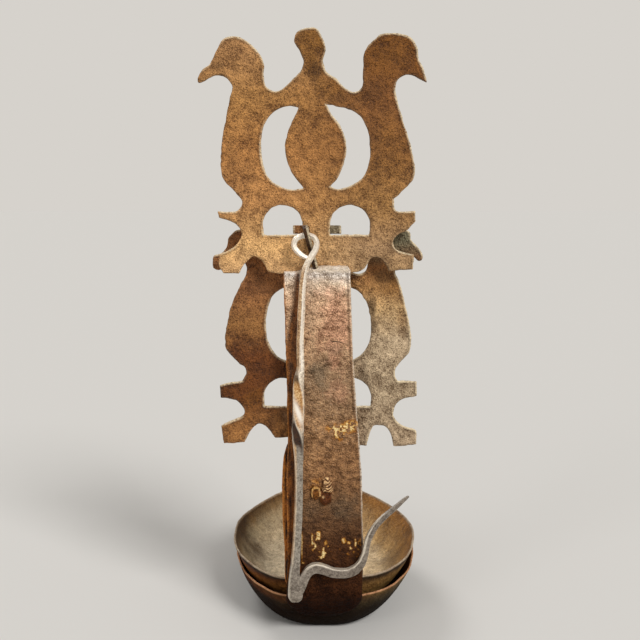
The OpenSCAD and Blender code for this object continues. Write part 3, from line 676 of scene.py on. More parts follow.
def arm_field():
    """The notched bar: its side outline met with its two faces, rubbed round at the edges."""
    chart = Chart((-3, -2), (ARM_L + 2, ARM_H + LIP_RISE + 2), lambda p: line_distance(p, arm_outline()), 0.2)

    def field(p):
        side = chart(p[..., 1:] - [-PAN_BACK, ARM_FOOT])
        face = np.abs(p[..., 0] - ARM_X) - ARM_T / 2
        return meet(side, face, 0.35) + 0.07 * noise(p, 3, 51) + 0.04 * noise(p, 1.2, 52)
    return field


# The hammered end of the arm's tang: [x, z, half width, half depth, half height] of each lump
LUMPS = [
    [-3.3, 68.4, 2, 1, 2.9], [-4.9, 68, 0.7, 1.5, 2.5], [-3.5, 70.7, 1.7, 1.6, 0.8], [-2, 69, 0.6, 1.5, 2],
    [1.3, 71.4, 2.1, 1.8, 3.9], [2.6, 70.4, 1, 1.6, 3], [0.8, 65.7, 2.6, 2.9, 2.7], [-0.9, 67.8, 1, 1.2, 1.6]
]


def ridges(x, z):
    """The bruised ridges over the right half of the arm's end: slanting waves 1.3 mm apart that bend as noise does."""
    bend = noise(np.stack([x, z], -1), 1.5, 64)
    wave = 0.5 + 0.5 * np.cos(2 * math.pi * (z - 0.4 * x + bend) / 1.3)
    wave = wave * np.clip(1.1 + 1.2 * noise(np.stack([x, z], -1), 1.1, 67), 0.4, 1)
    return wave * np.clip((x + 0.9) / 0.8, 0, 1) * np.clip((z - 68.2 - 0.3 * np.abs(x - 1)) / 0.6, 0, 1)


def nub_field(p):
    """The arm's end, hammered over in lumps that have run together: a small arch on the left and a ridged knob that
    ends in a ball on the right."""
    d = np.full(p.shape[:-1], 9.0)
    for x, z, rx, ry, rz in LUMPS:
        k = np.linalg.norm((p - [x, REAR_Y, z]) / [rx, ry, rz], axis=-1)
        d = join(d, (k - 1) * min(rx, ry, rz), 0.3)
    return d - 0.4 * ridges(p[..., 0], p[..., 2]) + 0.2 * noise(p, 1.3, 61) + 0.1 * noise(p, 0.6, 62)


def crest_mark(p):
    """Where the arm's end gets painted highlights in light metal colours: along its ridges, round the arch and on top
    of the ball.
    """
    x, z = p[:, 0], p[:, 2]
    ragged = 1 + 0.6 * noise(p, 0.9, 65)
    arch_line = 1 - np.abs(np.hypot((x + 3.4) / 1.8, (z - 68) / 2.9) - 1) / 0.3
    arch_line = arch_line * np.clip((z - 66.4) / 0.8, 0, 1) * (x < -0.9)
    ball = 0.7 - np.hypot((x + 0.2) / 1.3, (z - 67) / 1)
    crest = np.maximum.reduce([1.4 * ridges(x, z) - 0.2, arch_line, ball])
    return np.clip(crest * ragged, 0, 1) * np.clip((REAR_Y - 0.3 - p[:, 1]) / 0.5, 0, 1)


# Hanging link

LINK_LOOP = [
    [-0.95, -1], [-2, 1.1], [-4, 1.5], [-7, 0.4], [-8.3, -2.6], [-7.4, -4.8], [-5.4, -6.2], [-3.4, -8],
    [-2.85, -10.4], [-2.8, -15], [-1.9, -16.4], [-1, -15], [-0.95, -8], [-0.95, -4]
]
CLENCH_X, CLENCH_W, CLENCH_H = 4.6, 20.4, 3.6


def link_field():
    """The link: a flat strip along a closed loop, tilted in its slot, with a leg through the plate and two ends
    clenched along the plate's far face."""
    line = smooth(LINK_LOOP)
    chart = Chart((-11, -19), (3, 4), lambda p: np.abs(line_distance(p, line)) - LINK_T / 2, 0.15)
    c, s = math.cos(LINK_TILT), math.sin(LINK_TILT)

    def field(p):
        q = p - [LINK_X, -PAN_BACK, LINK_Z]
        x, z = q[..., 0] * c + q[..., 2] * s, q[..., 2] * c - q[..., 0] * s
        loop = meet(chart(np.stack([q[..., 1], z], -1)), np.abs(x) - LINK_W / 2, 0.3)
        leg = solid_box(q, [-LINK_W / 2, -1.5, -LINK_T], [LINK_W / 2, PLATE_T + 0.7, LINK_T], 0.2)
        bar_ends = [CLENCH_X - CLENCH_W / 2, CLENCH_X + CLENCH_W / 2]
        clench = solid_box(q, [bar_ends[0], PLATE_T, -CLENCH_H / 2], [bar_ends[1], PLATE_T + LINK_T, CLENCH_H / 2], 0.3)
        return np.minimum(join(loop, leg, 0.3), clench) + 0.07 * noise(p, 2.2, 71) + 0.04 * noise(p, 0.9, 72)
    return field


# Hanger

STRAND_T, EYE_T = 3.1, 2.1
HANGER_Y = REAR_Y - 2.4 - STRAND_T / 2
EYE_Y = HANGER_Y + (STRAND_T - EYE_T) / 2
# The bar's line in [x, z, width, turn in degrees], from the end of its eye to the bottom of the foot
BAR = [
    [-6.9, 170.6, 1.4, 30], [-9.3, 171.8, 1.8, 30], [-11, 173.3, 1.9, 30], [-12.2, 175, 1.9, 30],
    [-12.4, 176.8, 1.9, 30], [-11.4, 178.6, 1.9, 30], [-9, 179.8, 1.9, 30], [-6.2, 179.9, 1.9, 30],
    [-4, 178.9, 1.9, 30], [-3, 176.6, 1.95, 30], [-3.6, 173.9, 2, 30], [-5, 171.5, 2.1, 30], [-6.5, 169, 2.1, 30],
    [-7.5, 166.8, 2.1, 30], [-8.2, 164, 2.15, 32], [-9, 157, 2.25, 38], [-9.35, 149.2, 2.4, 33],
    [-9.7, 142, 2.35, 36], [-9.95, 136, 2.35, 43], [-9.9, 128.7, 2.45, 56], [-9.8, 125, 2.6, 64],
    [-10.2, 121.2, 3, 55], [-10.45, 119.3, 3.3, 44], [-10.6, 117.4, 3.6, 28], [-10.7, 115.6, 4, 17],
    [-10.7, 113.7, 4.4, 7], [-10.7, 110, 4.8, 0], [-10.75, 106, 4.8, -3], [-10.8, 103.2, 4.6, -9],
    [-11, 100, 4, -26], [-11, 95.9, 4.2, -68], [-10.95, 92.8, 4.6, -84], [-10.75, 87.1, 4.1, -93],
    [-10.75, 80.2, 3.3, -100], [-10.75, 72, 3.2, -103], [-10.9, 64, 3.25, -103], [-11.2, 56, 3.3, -103],
    [-11.7, 46, 3.4, -102], [-12.3, 38, 3.8, -98], [-12.8, 31.5, 4.7, -94], [-12.8, 27.4, 5.4, -91],
    [-12.4, 24.2, 6.5, -90], [-12.3, 22.6, 6.2, -90], [-12.3, 21.4, 4.9, -90], [-12.3, 20.6, 3, -90],
    [-12.3, 20.3, 1, -90]
]
# The hook's line in the same way, from inside the foot to its tip
HOOK = [
    [-11.4, 23, 1.6, -90], [-10.9, 24.4, 3.4, -90], [-10, 26.8, 4, -90], [-9.1, 29.4, 4.2, -90],
    [-8, 32.1, 4.3, -90], [-6.2, 34.5, 4.3, -90], [-3.4, 35.8, 4.35, -90], [0.1, 35.1, 4.2, -90],
    [4.1, 33.6, 4, -90], [9.5, 33.4, 3.9, -90], [13.2, 34.7, 3.8, -90], [16, 37.4, 3.4, -90],
    [17.7, 41.3, 2.9, -90], [18.5, 45.2, 2.7, -90], [19.4, 49, 2.6, -90], [21.9, 53.9, 2.5, -90],
    [25.3, 57.9, 2.3, -90], [28.6, 61, 2.1, -90], [32, 64, 1.8, -90], [35.2, 66.9, 1.3, -90], [36.6, 68, 0.7, -90]
]
BAR_DEPTH = 3.1


def open_curve(points, steps):
    """Open Catmull-Rom curve through the rows of a table."""
    p = np.array(points, float)
    ext = np.vstack([p[:1], p, p[-1:]])
    a, b, c, d = (ext[k:len(ext) - 3 + k, None] for k in range(4))
    t = (np.arange(steps) / steps)[None, :, None]
    line = (2 * b + (c - a) * t + (2 * a - 5 * b + 4 * c - d) * t**2 + (3 * b - a - 3 * c + d) * t**3) / 2
    return np.vstack([line.reshape(-1, p.shape[1]), p[-1:]])


def bar_mesh(stations, around=48, steps=16):
    """Square bar carried along its line: at each station a square section with small round corners, drawn out, turned
    by the smith's twist and dimpled by the hammer. Where the bar is wide, it is no deeper than its own thickness. The
    marks are the four faces of the bar, each full on its own face and fading over the corners, and the corners."""
    s = open_curve(stations, steps)
    x, z, wide, turn = s.T
    heading = np.gradient(np.stack([x, z], 1), axis=0)
    heading /= np.linalg.norm(heading, axis=1, keepdims=True)
    a = 2 * math.pi * np.arange(around) / around
    power = 9
    corner = (np.abs(np.cos(a)) ** power + np.abs(np.sin(a)) ** power) ** (-1 / power)
    turn = np.radians(turn)[:, None]
    u = (np.cos(a) * np.cos(turn) - np.sin(a) * np.sin(turn)) * corner
    v = (np.cos(a) * np.sin(turn) + np.sin(a) * np.cos(turn)) * corner
    half = wide[:, None] / 2
    eye = np.clip((z - 160) / 14, 0, 1)
    plane = HANGER_Y + (EYE_Y - HANGER_Y) * eye
    points = np.stack([
        x[:, None] + u * half * heading[:, 1:], plane[:, None] + v * np.minimum(half, BAR_DEPTH / 2),
        z[:, None] - u * half * heading[:, :1]
    ], -1)
    centre = np.stack([x, plane, z], 1)[:, None]
    out = points - centre
    out /= np.maximum(np.linalg.norm(out, axis=-1, keepdims=True), 0.05)
    rough = 0.09 * noise(points, 3.4, 81) + 0.06 * noise(points, 1.3, 82)
    points += out * (rough * np.clip(half / 1.2, 0.2, 1))[..., None]
    n = len(s)
    grid = np.arange(n * around).reshape(n, around)
    p, q = grid[:-1], grid[1:]
    quads = np.stack([p, q, np.roll(q, -1, 1), np.roll(p, -1, 1)], -1).reshape(-1, 4)
    ends = [grid[0][::-1].tolist(), grid[-1].tolist()]
    sides = [np.clip((np.cos(a - k * math.pi / 2) - 0.6) / 0.2, 0, 1) for k in range(4)]
    edge = np.clip((corner - 1.2) / 0.1, 0, 1)
    marks = [np.broadcast_to(m, (n, around)).reshape(-1) for m in [*sides, edge]]
    return points.reshape(-1, 3), quads.tolist() + ends, marks


def hanger_mesh():
    """The shank with its eye and foot, and the hook that grows out of the foot. Its marks are a painted golden sheen on
    the face that comes forward in the twist, painted shade in tan down the left of the shank, dark brown painted shade
    in the hollow below the twist, painted highlights in a bright lens in it and down the right of the shank's middle, a
    paler eye, and corners rubbed pale, with a painted highlight along the hook's top edge."""
    shank, hook = bar_mesh(BAR), bar_mesh(HOOK)
    n = len(shank[0])
    points = np.vstack([shank[0], hook[0]])
    faces = shank[1] + [[k + n for k in f] for f in hook[1]]
    right, left, _, front, edge = (np.concatenate(m) for m in zip(shank[2], hook[2]))
    x, y, z = points.T
    wander = 0.6 * noise(points, 1.7, 84)
    line = np.array(BAR)[12:]
    across = x - np.interp(z, line[::-1, 1], line[::-1, 0])
    twist = np.clip((122 - z + wander) / 3, 0, 1) * np.clip((z - 97 + wander) / 3, 0, 1)
    shank = np.clip((z - 121) / 4, 0, 1) * np.clip((169 - z) / 5, 0, 1)
    below = np.clip((96 - z) / 6, 0, 1) * np.clip((z - 36) / 8, 0, 1)
    # Painted shade down the left of the shank, above and below the twist, in the golden colours.
    tan = 0.8 * shank * np.clip((0.15 - across + 0.2 * wander) / 0.3, 0, 1)
    tan = np.maximum(tan, 0.8 * np.clip((-0.65 - across + 0.3 * wander) / 0.5, 0, 1) * below)
    # Painted shade in the hollow below the twist and where the twist begins.
    umber = right * (x < -5) * np.clip((z - 88.5 + 0.9 * (x + 11) + wander) / 3, 0, 1) * np.clip((103 - z) / 3, 0, 1)
    umber = np.maximum(umber, front * np.clip((z - 117) / 2, 0, 1) * np.clip((123 - z) / 3, 0, 1) * 0.8)
    # Painted highlights: a bright lens in the twist and a stripe down the right of the shank's middle; the eye is paler
    # too.
    pale = np.exp(-((x + 11.1 + 0.32 * (z - 106)) / 1.2) ** 2 - ((z - 105) / 5.5) ** 2) * front * 1.2
    pale = np.clip(np.maximum(pale, 0.75 * shank * np.clip(1.3 - np.abs(across - 0.55) / 0.5, 0, 1)), 0, 1)
    pale = np.maximum(pale, 0.6 * np.clip((z - 168) / 4, 0, 1))
    upper = np.clip((z - 92 + wander) / 8, 0, 1)
    edge = edge * np.clip(1.2 - np.clip((96 - z) / 6, 0, 1) * np.clip((across + 0.6) * 2, 0, 1), 0.15, 1)
    # A painted highlight along the hook's top edge joins the corners' pale mark.
    hook_line = np.array(HOOK)
    over = np.clip((z - np.interp(x, hook_line[:, 0], hook_line[:, 1]) - 1.45) / 0.3, 0, 1) * (np.arange(len(x)) >= n)
    edge = np.maximum(edge, 1.2 * over * np.clip((x + 9) / 3, 0, 1))
    hooked = np.maximum((np.arange(len(x)) >= n) * np.clip((z - 29 + 0.5 * x + wander) / 5, 0, 1),
                        0.65 * np.clip((40 - z + wander) / 5, 0, 1))
    marks = dict(film=np.maximum(front * twist, tan), umber=umber, pale=pale, upper=upper, hook=hooked, wear=0.55 * edge)
    return points, faces, marks


# The finishes of the real lamp's pieces

def plate_iron(name, seed, low, high, left, right):
    """Hammered iron sheet under a dry granular rust, oiled long ago: matt and sandy, warmer to the left than to the
    right and paler at its feet, with its pitted edges a little rubbed and given a painted highlight, and darkened by
    sooty spots and by painted shade along its edges."""
    def tint(tree, where, patch):
        x = add(tree, "SeparateXYZ", {0: where}).outputs[0]
        x = add(tree, "Math", {0: patch, 1: 24 * MM, 2: x}, operation="MULTIPLY_ADD").outputs[0]
        side = add(tree, "MapRange", {0: x, 1: -6 * MM, 2: 30 * MM}).outputs[0]
        mean = blend(tree, side, *(by_height(tree, where, patch, low, high, s) for s in (left, right)))
        mean = blend(tree, read(tree, "rust"), mean, linear("#7f531e"))
        # Sooty spots and painted shade along the edges darken it through one mark.
        return blend(tree, read(tree, "soot"), mean, linear("#331e0e"))
    return old_iron(name, tint, seed, 11, spread=0.95, pit=0.8, worn="#f3deb8", rub=1.0, gloss=0.6,
                    deep=2.4)[0]


upper_iron = plate_iron("rusted_sheet_upper", 0.11, 163, 265, [
    (0, "#cea06c"), (0.12, "#d9a86b"), (0.28, "#b5804a"), (0.5, "#ab753f"), (0.72, "#a5753f"), (0.9, "#b1814f")
], [(0, "#a88459"), (0.12, "#a27e57"), (0.28, "#9f7340"), (0.5, "#8d5e30"), (0.72, "#805127"), (0.9, "#76491b")])
lower_iron = plate_iron("rusted_sheet_lower", 0.53, 88, 186, [
    (0, "#9c6a38"), (0.1, "#8d5d2f"), (0.2, "#633712"), (0.4, "#693b18"), (0.54, "#916334"), (0.7, "#8d5c34"),
    (0.82, "#926036"), (1, "#885b35")
], [(0, "#ad9373"), (0.24, "#af9776"), (0.47, "#bba17e"), (0.6, "#c49f6d"), (0.7, "#b0814c"), (0.8, "#885930"), (0.9, "#797156")])


def strap_iron():
    """Forged strap, drawn out and filed across, then rubbed by handling: fine crossed wrinkles, greyish white at the
    top, partly from rubbing and partly a painted highlight on its curved top, pink-brown below, darker and duller with
    old oil towards the pan, with painted golden reflections on its oily face, a painted shadow of the hanger down
    its left part and a painted highlight along its right edge."""
    def tint(tree, where, patch):
        # Up the strap: nearly black by the pan, pink-brown in the middle, and greyish white at the top, which is partly
        # rubbed and partly a painted highlight on the curved top.
        colour = by_height(tree, where, patch, 8, 168, [
            (0, "#1a0a03"), (0.06, "#231006"), (0.13, "#3f220e"), (0.22, "#4b2c14"), (0.3, "#624328"),
            (0.46, "#9d7249"), (0.56, "#9d764f"), (0.61, "#9c7955"), (0.68, "#957554"), (0.79, "#c49c74"), (0.9, "#e0b68e"),
            (0.95, "#dcc2a4"), (0.975, "#efe4d6"), (1, "#f3e9dd")], 5)
        streaks = []
        for lie in ((2.2, 1, 1), (1, 1, 5)):
            laid = add(tree, "Mapping", {"Vector": where, "Scale": lie}, vector_type="TEXTURE").outputs[0]
            laid = add(tree, "TexNoise", {"Vector": laid, "Scale": 1 / (1.5 * MM), "Detail": 4}).outputs[0]
            streaks.append(add(tree, "MapRange", {0: laid, 1: 0.36, 2: 0.64}).outputs[0])
        colour = blend(tree, streaks[0], blend(tree, 1.0, colour, (0.78, 0.74, 0.72, 1), "MULTIPLY"),
                       blend(tree, 1.0, colour, (1.24, 1.24, 1.23, 1), "MULTIPLY"))
        fleck = add(tree, "TexNoise", {"Vector": where, "Scale": 1 / (0.9 * MM), "Detail": 2}).outputs[0]
        z = add(tree, "SeparateXYZ", {0: where}).outputs[2]
        much = add(tree, "MapRange", {0: z, 1: 66 * MM, 2: 96 * MM, 3: 0, 4: 0.25}).outputs[0]
        fleck = add(tree, "MapRange", {0: fleck, 1: 0.57, 2: 0.68, 3: 0, 4: much}).outputs[0]
        colour = blend(tree, fleck, colour, linear("#b79d80"))
        colour = blend(tree, read(tree, "pink"), colour, linear("#de9f7c"))
        colour = blend(tree, read(tree, "grey"), colour, linear("#5d5644"))
        colour = blend(tree, read(tree, "rim"), colour, linear("#4a2c14"))
        # A painted shadow of the hanger down the strap's left part, dark brown with lighter streaks.
        brown = blend(tree, streaks[1], linear("#3a1a08"), linear("#94551d"))
        colour = blend(tree, read(tree, "margin"), colour, brown)
        return blend(tree, read(tree, "rust"), colour, linear("#b4702f"))
    material, tree, shader, colour, where, light = old_iron(
        "forged_strap_outer", tint, 0.31, 9, stretch=(2.4, 1, 0.8), turn=0.4, spread=1.1, pit=0.6,
        worn="#f0dcc4", rub=1.0, gloss=0.5, metal=0.06, relief=1.0, shine=0.2, deep=2.2)
    colour = blend(tree, read(tree, "crack"), colour, linear("#1f140d"))
    # Painted golden reflections on the oily strap, pale cream at their brightest, and a little metallic.
    brass = read(tree, "brass")
    core = add(tree, "Math", {0: light, 1: 0.5, 2: -0.25}, operation="MULTIPLY_ADD").outputs[0]
    core = add(tree, "Math", {0: core, 1: brass}, operation="ADD").outputs[0]
    gold = add(tree, "ValToRGB", {0: core}, stops=[
        (0.1, "#5f300a"), (0.45, "#bd741d"), (0.72, "#e0a245"), (0.92, "#ffe2a4")]).outputs[0]
    tree.links.new(blend(tree, brass, colour, gold), shader.inputs["Base Color"])
    metal = add(tree, "Math", {0: brass, 1: 0.5, 2: 0.06}, operation="MULTIPLY_ADD").outputs[0]
    tree.links.new(metal, shader.inputs["Metallic"])
    z = add(tree, "SeparateXYZ", {0: where}).outputs[2]
    shine = add(tree, "MapRange", {0: z, 1: 15 * MM, 2: 60 * MM, 3: 0.02, 4: 0.2}).outputs[0]
    tree.links.new(shine, shader.inputs["Specular IOR Level"])
    return material


def inner_strap_iron():
    """The inner strap, out of reach of the cloth: dark brown iron, with streaks of orange rust along its left edge."""
    def tint(tree, where, patch):
        laid = add(tree, "Mapping", {"Vector": where, "Scale": (1, 1, 5)}, vector_type="TEXTURE").outputs[0]
        streaks = add(tree, "TexNoise", {"Vector": laid, "Scale": 1 / (1.6 * MM), "Detail": 3}).outputs[0]
        streaks = add(tree, "MapRange", {0: streaks, 1: 0.42, 2: 0.58}).outputs[0]
        rust = blend(tree, streaks, linear("#2c1406"), linear("#a05a1c"))
        plain = blend(tree, streaks, linear("#4a2f1b"), linear("#64452c"))
        return blend(tree, read(tree, "rust"), plain, rust)
    return old_iron("forged_strap_inner", tint, 0.9, 6, worn="#d98a3c", rub=0.9, gloss=0.58)[0]


def pan_iron(name, seed, inside, rim, outside, shine):
    """Raised iron pan. Its outside is black below and brown towards the rim, redder on the left, partly from baked oil
    and partly as painted shade; the inner pan's outside is painted dark just under its lip as the lip's painted shadow.
    Inside it has a dry coat of old oil, pale at the bottom and dark towards the rim, greyer to the left and golden to
    the right, with burnt blotches, and its lip is rubbed."""
    def tint(tree, where, patch):
        x = add(tree, "SeparateXYZ", {0: where}).outputs[0]
        x = add(tree, "Math", {0: patch, 1: 30 * MM, 2: x}, operation="MULTIPLY_ADD").outputs[0]
        side = add(tree, "MapRange", {0: x, 1: -30 * MM, 2: 60 * MM}).outputs[0]
        up = add(tree, "Math", {0: patch, 1: 0.24, 2: read(tree, "rise")}, operation="MULTIPLY_ADD").outputs[0]
        up = add(tree, "Math", {0: up, 1: 0.12}, operation="SUBTRACT").outputs[0]
        tones = [add(tree, "ValToRGB", {0: up}, stops=s).outputs[0] for s in (*inside, *outside)]
        inner = blend(tree, side, tones[0], tones[1])
        inner = blend(tree, read(tree, "burnt"), inner, linear("#4e3720"))
        return blend(tree, read(tree, "inner"), blend(tree, side, tones[2], tones[3]), inner)
    material, tree, shader, colour, where, light = old_iron(
        name, tint, seed, 9, spread=0.7, pit=0.3, rub=0.0, gloss=0.62, metal=0.0, relief=0.6, shine=shine)
    tree.links.new(blend(tree, read(tree, "wear"), colour, blend(tree, light, linear("#7b5638"), linear(rim))),
                   shader.inputs["Base Color"])
    return material


def link_iron():
    """The link and its clenched ends: forged strip, its near limb dark brown, partly its own colour and partly painted
    shade, with a painted highlight along its right side, and the clenched ends' edges rubbed to the metal.
    """
    def tint(tree, where, patch):
        x = add(tree, "SeparateXYZ", {0: where}).outputs[0]
        side = add(tree, "MapRange", {0: x, 1: -9 * MM, 2: -5 * MM}).outputs[0]
        far = blend(tree, side, linear("#8a5f38"), linear("#84765c"))
        # The near limb's dark brown: the strip's own colour deepened as painted shade.
        return blend(tree, read(tree, "near"), far, linear("#3f2813"))
    return old_iron("forged_strip_link", tint, 1.7, 4, pit=0.4, worn="#dcc9a8", rub=0.9, gloss=0.45, metal=0.35)[0]


def arm_iron():
    """The notched arm: brown bar iron, rubbed where the inner strap slides."""
    return old_iron("forged_bar_arm", "#6d4c33", 2.1, 4, worn="#c9a57c", rub=0.7, gloss=0.5, metal=0.3)[0]


def nub_brass():
    """The arm's hammered end, run over with brassy spelter and bruised on the right: brown hollows between painted
    highlights on its crests, golden on the left and coppery on the right."""
    def tint(tree, where, patch):
        x = add(tree, "SeparateXYZ", {0: where}).outputs[0]
        side = add(tree, "MapRange", {0: x, 1: -2.4 * MM, 2: -0.6 * MM}).outputs[0]
        # Painted highlight colours for the crests, golden on the left and coppery on the right, over brown.
        crest = blend(tree, side, linear("#efb358"), linear("#f0bf80"))
        flank = blend(tree, side, linear("#6f400e"), linear("#592d0b"))
        return blend(tree, read(tree, "crest"), flank, crest)
    return old_iron("spelter_on_iron", tint, 2.9, 3, pit=0.3, worn="#ffe9c4", rub=0.45, gloss=0.46, metal=0.15,
                    relief=0.6)[0]


def hanger_steel():
    """Square iron bar rubbed bright by handling: pale and finely pitted, greyer at the foot and dull on the hook, with
    a painted golden sheen in the twist, painted shade down its left side and in the hollow below the twist, painted
    highlights on its brightest faces, and corners rubbed pale, with a painted highlight along the hook's top edge."""
    material, tree, shader = blank("rubbed_bar_iron")
    where = add(tree, "TexCoord").outputs["Object"]
    grain, grit, patch = (
        add(tree, "TexNoise", {"Vector": where, "Scale": 1 / (size * MM), "Detail": 4, "Roughness": 0.75}).outputs[0]
        for size in (1.3, 0.7, 5))
    light = -2.3
    for part, share in ((patch, 1.2), (grain, 1.8), (grit, 2.6)):
        light = add(tree, "Math", {0: part, 1: share, 2: light}, operation="MULTIPLY_ADD").outputs[0]
    light = add(tree, "Clamp", {0: light}).outputs[0]
    mean = blend(tree, read(tree, "upper"), linear("#92897c"), linear("#e9dac4"))
    mean = blend(tree, read(tree, "hook"), mean, linear("#7d7266"))
    colour = blend(tree, light, blend(tree, 1.0, mean, (0.38, 0.34, 0.31, 1), "MULTIPLY"),
                   blend(tree, 1.0, mean, (1.6, 1.62, 1.64, 1), "MULTIPLY"))
    # The golden colours are painted light: a sheen on the face that turns forward in the twist, and shade down the left
    # of the shank.
    gold = add(tree, "ValToRGB", {0: light}, stops=[(0, "#734718"), (0.5, "#c08a4e"), (1, "#eccb95")]).outputs[0]
    colour = blend(tree, read(tree, "film"), colour, gold)
    # Dark brown painted shade in the hollow below the twist.
    colour = blend(tree, read(tree, "umber"), colour, blend(tree, light, linear("#140a04"), linear("#4a2c14")))
    # Pale corners, rubbed, with a painted highlight along the hook's top edge.
    colour = blend(tree, read(tree, "wear"), colour, linear("#e8dcc8"))
    # Near white: painted highlights in the twist's lens and down the shank, and the paler eye.
    colour = blend(tree, read(tree, "pale"), colour, linear("#fdf3e4"))
    bump = add(tree, "Bump", {"Height": light, "Strength": 0.5, "Distance": 0.2 * MM}).outputs[0]
    rough = add(tree, "MapRange", {0: light, 3: 0.5, 4: 0.34}).outputs[0]
    for key, value in {"Base Color": colour, "Roughness": rough, "Normal": bump}.items():
        tree.links.new(value, shader.inputs[key])
    shader.inputs["Metallic"].default_value = 0.35
    return material


# The pieces

upper_soot = [
    [6.5, 236, 8, 3.6, 0.4], [22.3, 238.7, 5, 4.5, 0.3], [26, 253, 8, 5, 0.2], [36.5, 222, 3.4, 12, 0.4],
    [-3.7, 247, 3.4, 7, 0.5], [-38.8, 214, 3, 11, 0.25], [9, 184, 5.4, 4, 0.35], [-43, 249, 3, 2.6, 0.35],
    [-22.5, 214, 2.4, 12, 0.25], [1, 262.5, 5, 2.4, 0.3], [22, 214, 2.4, 14, 0.25]
]
lower_soot = [
    [-26, 157, 6, 5, 0.3], [-22, 148, 2.4, 12, 0.4], [25, 162, 7, 4, 0.4], [20.8, 146, 2.6, 12, 0.6],
    [-29, 121, 6, 4, 0.3], [17.5, 118, 3, 6, 0.3], [-19, 101, 5, 5, 0.3], [34, 118, 4, 3, 0.25]
]
make_plate("birds_upper", UPPER_OUTLINE, (24.4, 0.6), (-13.6, 14.6), True, PITS, upper_soot,
           [[-3.4, 256, 9, 14, 0.8], [28, 216, 9, 18, 0.3], [8, 240, 12, 6, 0.4]], 3, upper_place, "outer_unit", "upper_plate_iron",
           upper_iron, "upper_bird_plate")
make_plate("birds_lower", LOWER_OUTLINE, (26, 1.2), (-15.2, 14.7), False, [], lower_soot,
           [[31, 157, 7, 8, 0.45], [34, 141, 3.4, 8, 0.4], [-31, 108, 7, 6, 0.3]], 13, lower_place, "inner_unit",
           "lower_plate_iron", lower_iron, "lower_bird_plate")

outer_top = UPPER_Z - PAN_DEPTH
outer_strap = strap_field(*OUTER_EDGES.T, outer_top, REAR_Y, 0, 34, 21, 1.3, PAN_DEPTH)


def outer_strap_field(p):
    """The outer strap with its braze run and the raised brass on it."""
    return join(outer_strap(p), braze_run(p), 0.5)


points, faces = net(outer_strap_field, (-19, -61.5, 7), (19, -49.5, 168.5), 0.44)
heights = np.linspace(0, outer_top, len(OUTER_EDGES)) + PAN_DEPTH
left_gap = points[:, 0] - np.interp(points[:, 2], heights, OUTER_EDGES[:, 0])
right_gap = np.interp(points[:, 2], heights, OUTER_EDGES[:, 1]) - points[:, 0]
# The hanger's painted shadow on the strap: a band from near the strap's left edge to the hanger's left side, narrowing
# as it rises.
border = np.interp(points[:, 2], [128, 140, 152, 163], [-17.4, -15.6, -13.6, -12.6])
margin = np.clip((-9.9 - points[:, 0]) / 0.6, 0, 1) * np.clip((points[:, 0] - border) / 1.4, 0, 1)
margin *= np.clip((points[:, 2] - 24) / 8, 0, 1)
rim_line = np.clip(1 - np.abs(right_gap - 1.3) / 0.7, 0, 1) * np.clip((points[:, 2] - 90) / 20, 0, 0.7)
# Pale along the right edge as a painted highlight, and over the braze run at the top, rubbed and given a painted
# highlight.
wear = np.clip(1.1 - right_gap / 0.6, 0, 1)
rust = np.clip(1.1 - left_gap / 0.7, 0, 0.9) * np.clip((points[:, 2] - 34) / 10, 0, 1)
wear = np.maximum(wear * np.clip((points[:, 2] - 30) / 30, 0, 1), np.clip((points[:, 2] - 163.4) / 1.5, 0, 1))
piece("strap_outer", points, faces, "outer_unit", "outer_strap_iron", strap_iron(), ["outer_strap"],
      wear=wear, brass=brass_mark(points), crack=crack_mark(points), pink=spots(points, [[4, 140, 9, 20, 0.5], [6, 112, 6, 5, 0.25]], 35),
      grey=spots(points, [[-1.5, 121, 6, 8, 0.5], [-6, 148, 4, 16, 0.22], [5, 131, 5, 3, 0.3],
                           [9, 62, 8, 9, 0.3], [-5, 61, 6, 5, 0.2]], 36), margin=0.9 * margin, rim=rim_line, rust=rust)

inner_top = LOWER_Z - INNER_RIM_Z
slot_span = (ARM_FOOT - 8 - 0.6, ARM_TOP - NOTCH_D + 0.1)
inner_strap = strap_field(*INNER_EDGES.T, inner_top, INNER_RIM_Y - STRAP_T, LEAN, 34.4, 27, 0.5, INNER_RIM_Z, slot_span)
points, faces = net(inner_strap, (-19, -59, 14), (19, -46, 90.5), 0.44)
wear = np.clip((np.abs(points[:, 0]) - 16.6) / 0.8, 0, 1) * np.where(points[:, 0] < 0, 1, 0.4)
piece("strap_inner", points, faces, "inner_unit", "inner_strap_iron", inner_strap_iron(), ["inner_strap"], wear=wear,
      rust=np.clip((-14.6 - points[:, 0]) / 0.8, 0, 1))

# Their colours from bottom to rim, left and right, inside and outside
outer_in = [(0, "#2a190c"), (1, "#3b1f0c")], [(0, "#3a2a1a"), (1, "#5a4024")]
# The outer pan's outside: black below and brown to the rim, darkest on the left, partly baked oil and partly painted
# shade.
outer_side = [(0, "#120601"), (0.72, "#180802"), (0.9, "#4a2009"), (1, "#361706")], [
    (0, "#15100a"), (0.55, "#211a12"), (0.85, "#4c402b"), (1, "#67502e")]
inner_in = [(0, "#c9b99b"), (0.3, "#b5a587"), (0.62, "#a49474"), (0.8, "#7a6444"), (0.95, "#4e3922")], [
    (0, "#dcc093"), (0.25, "#b78f56"), (0.55, "#a3763d"), (0.9, "#9a6a35")]
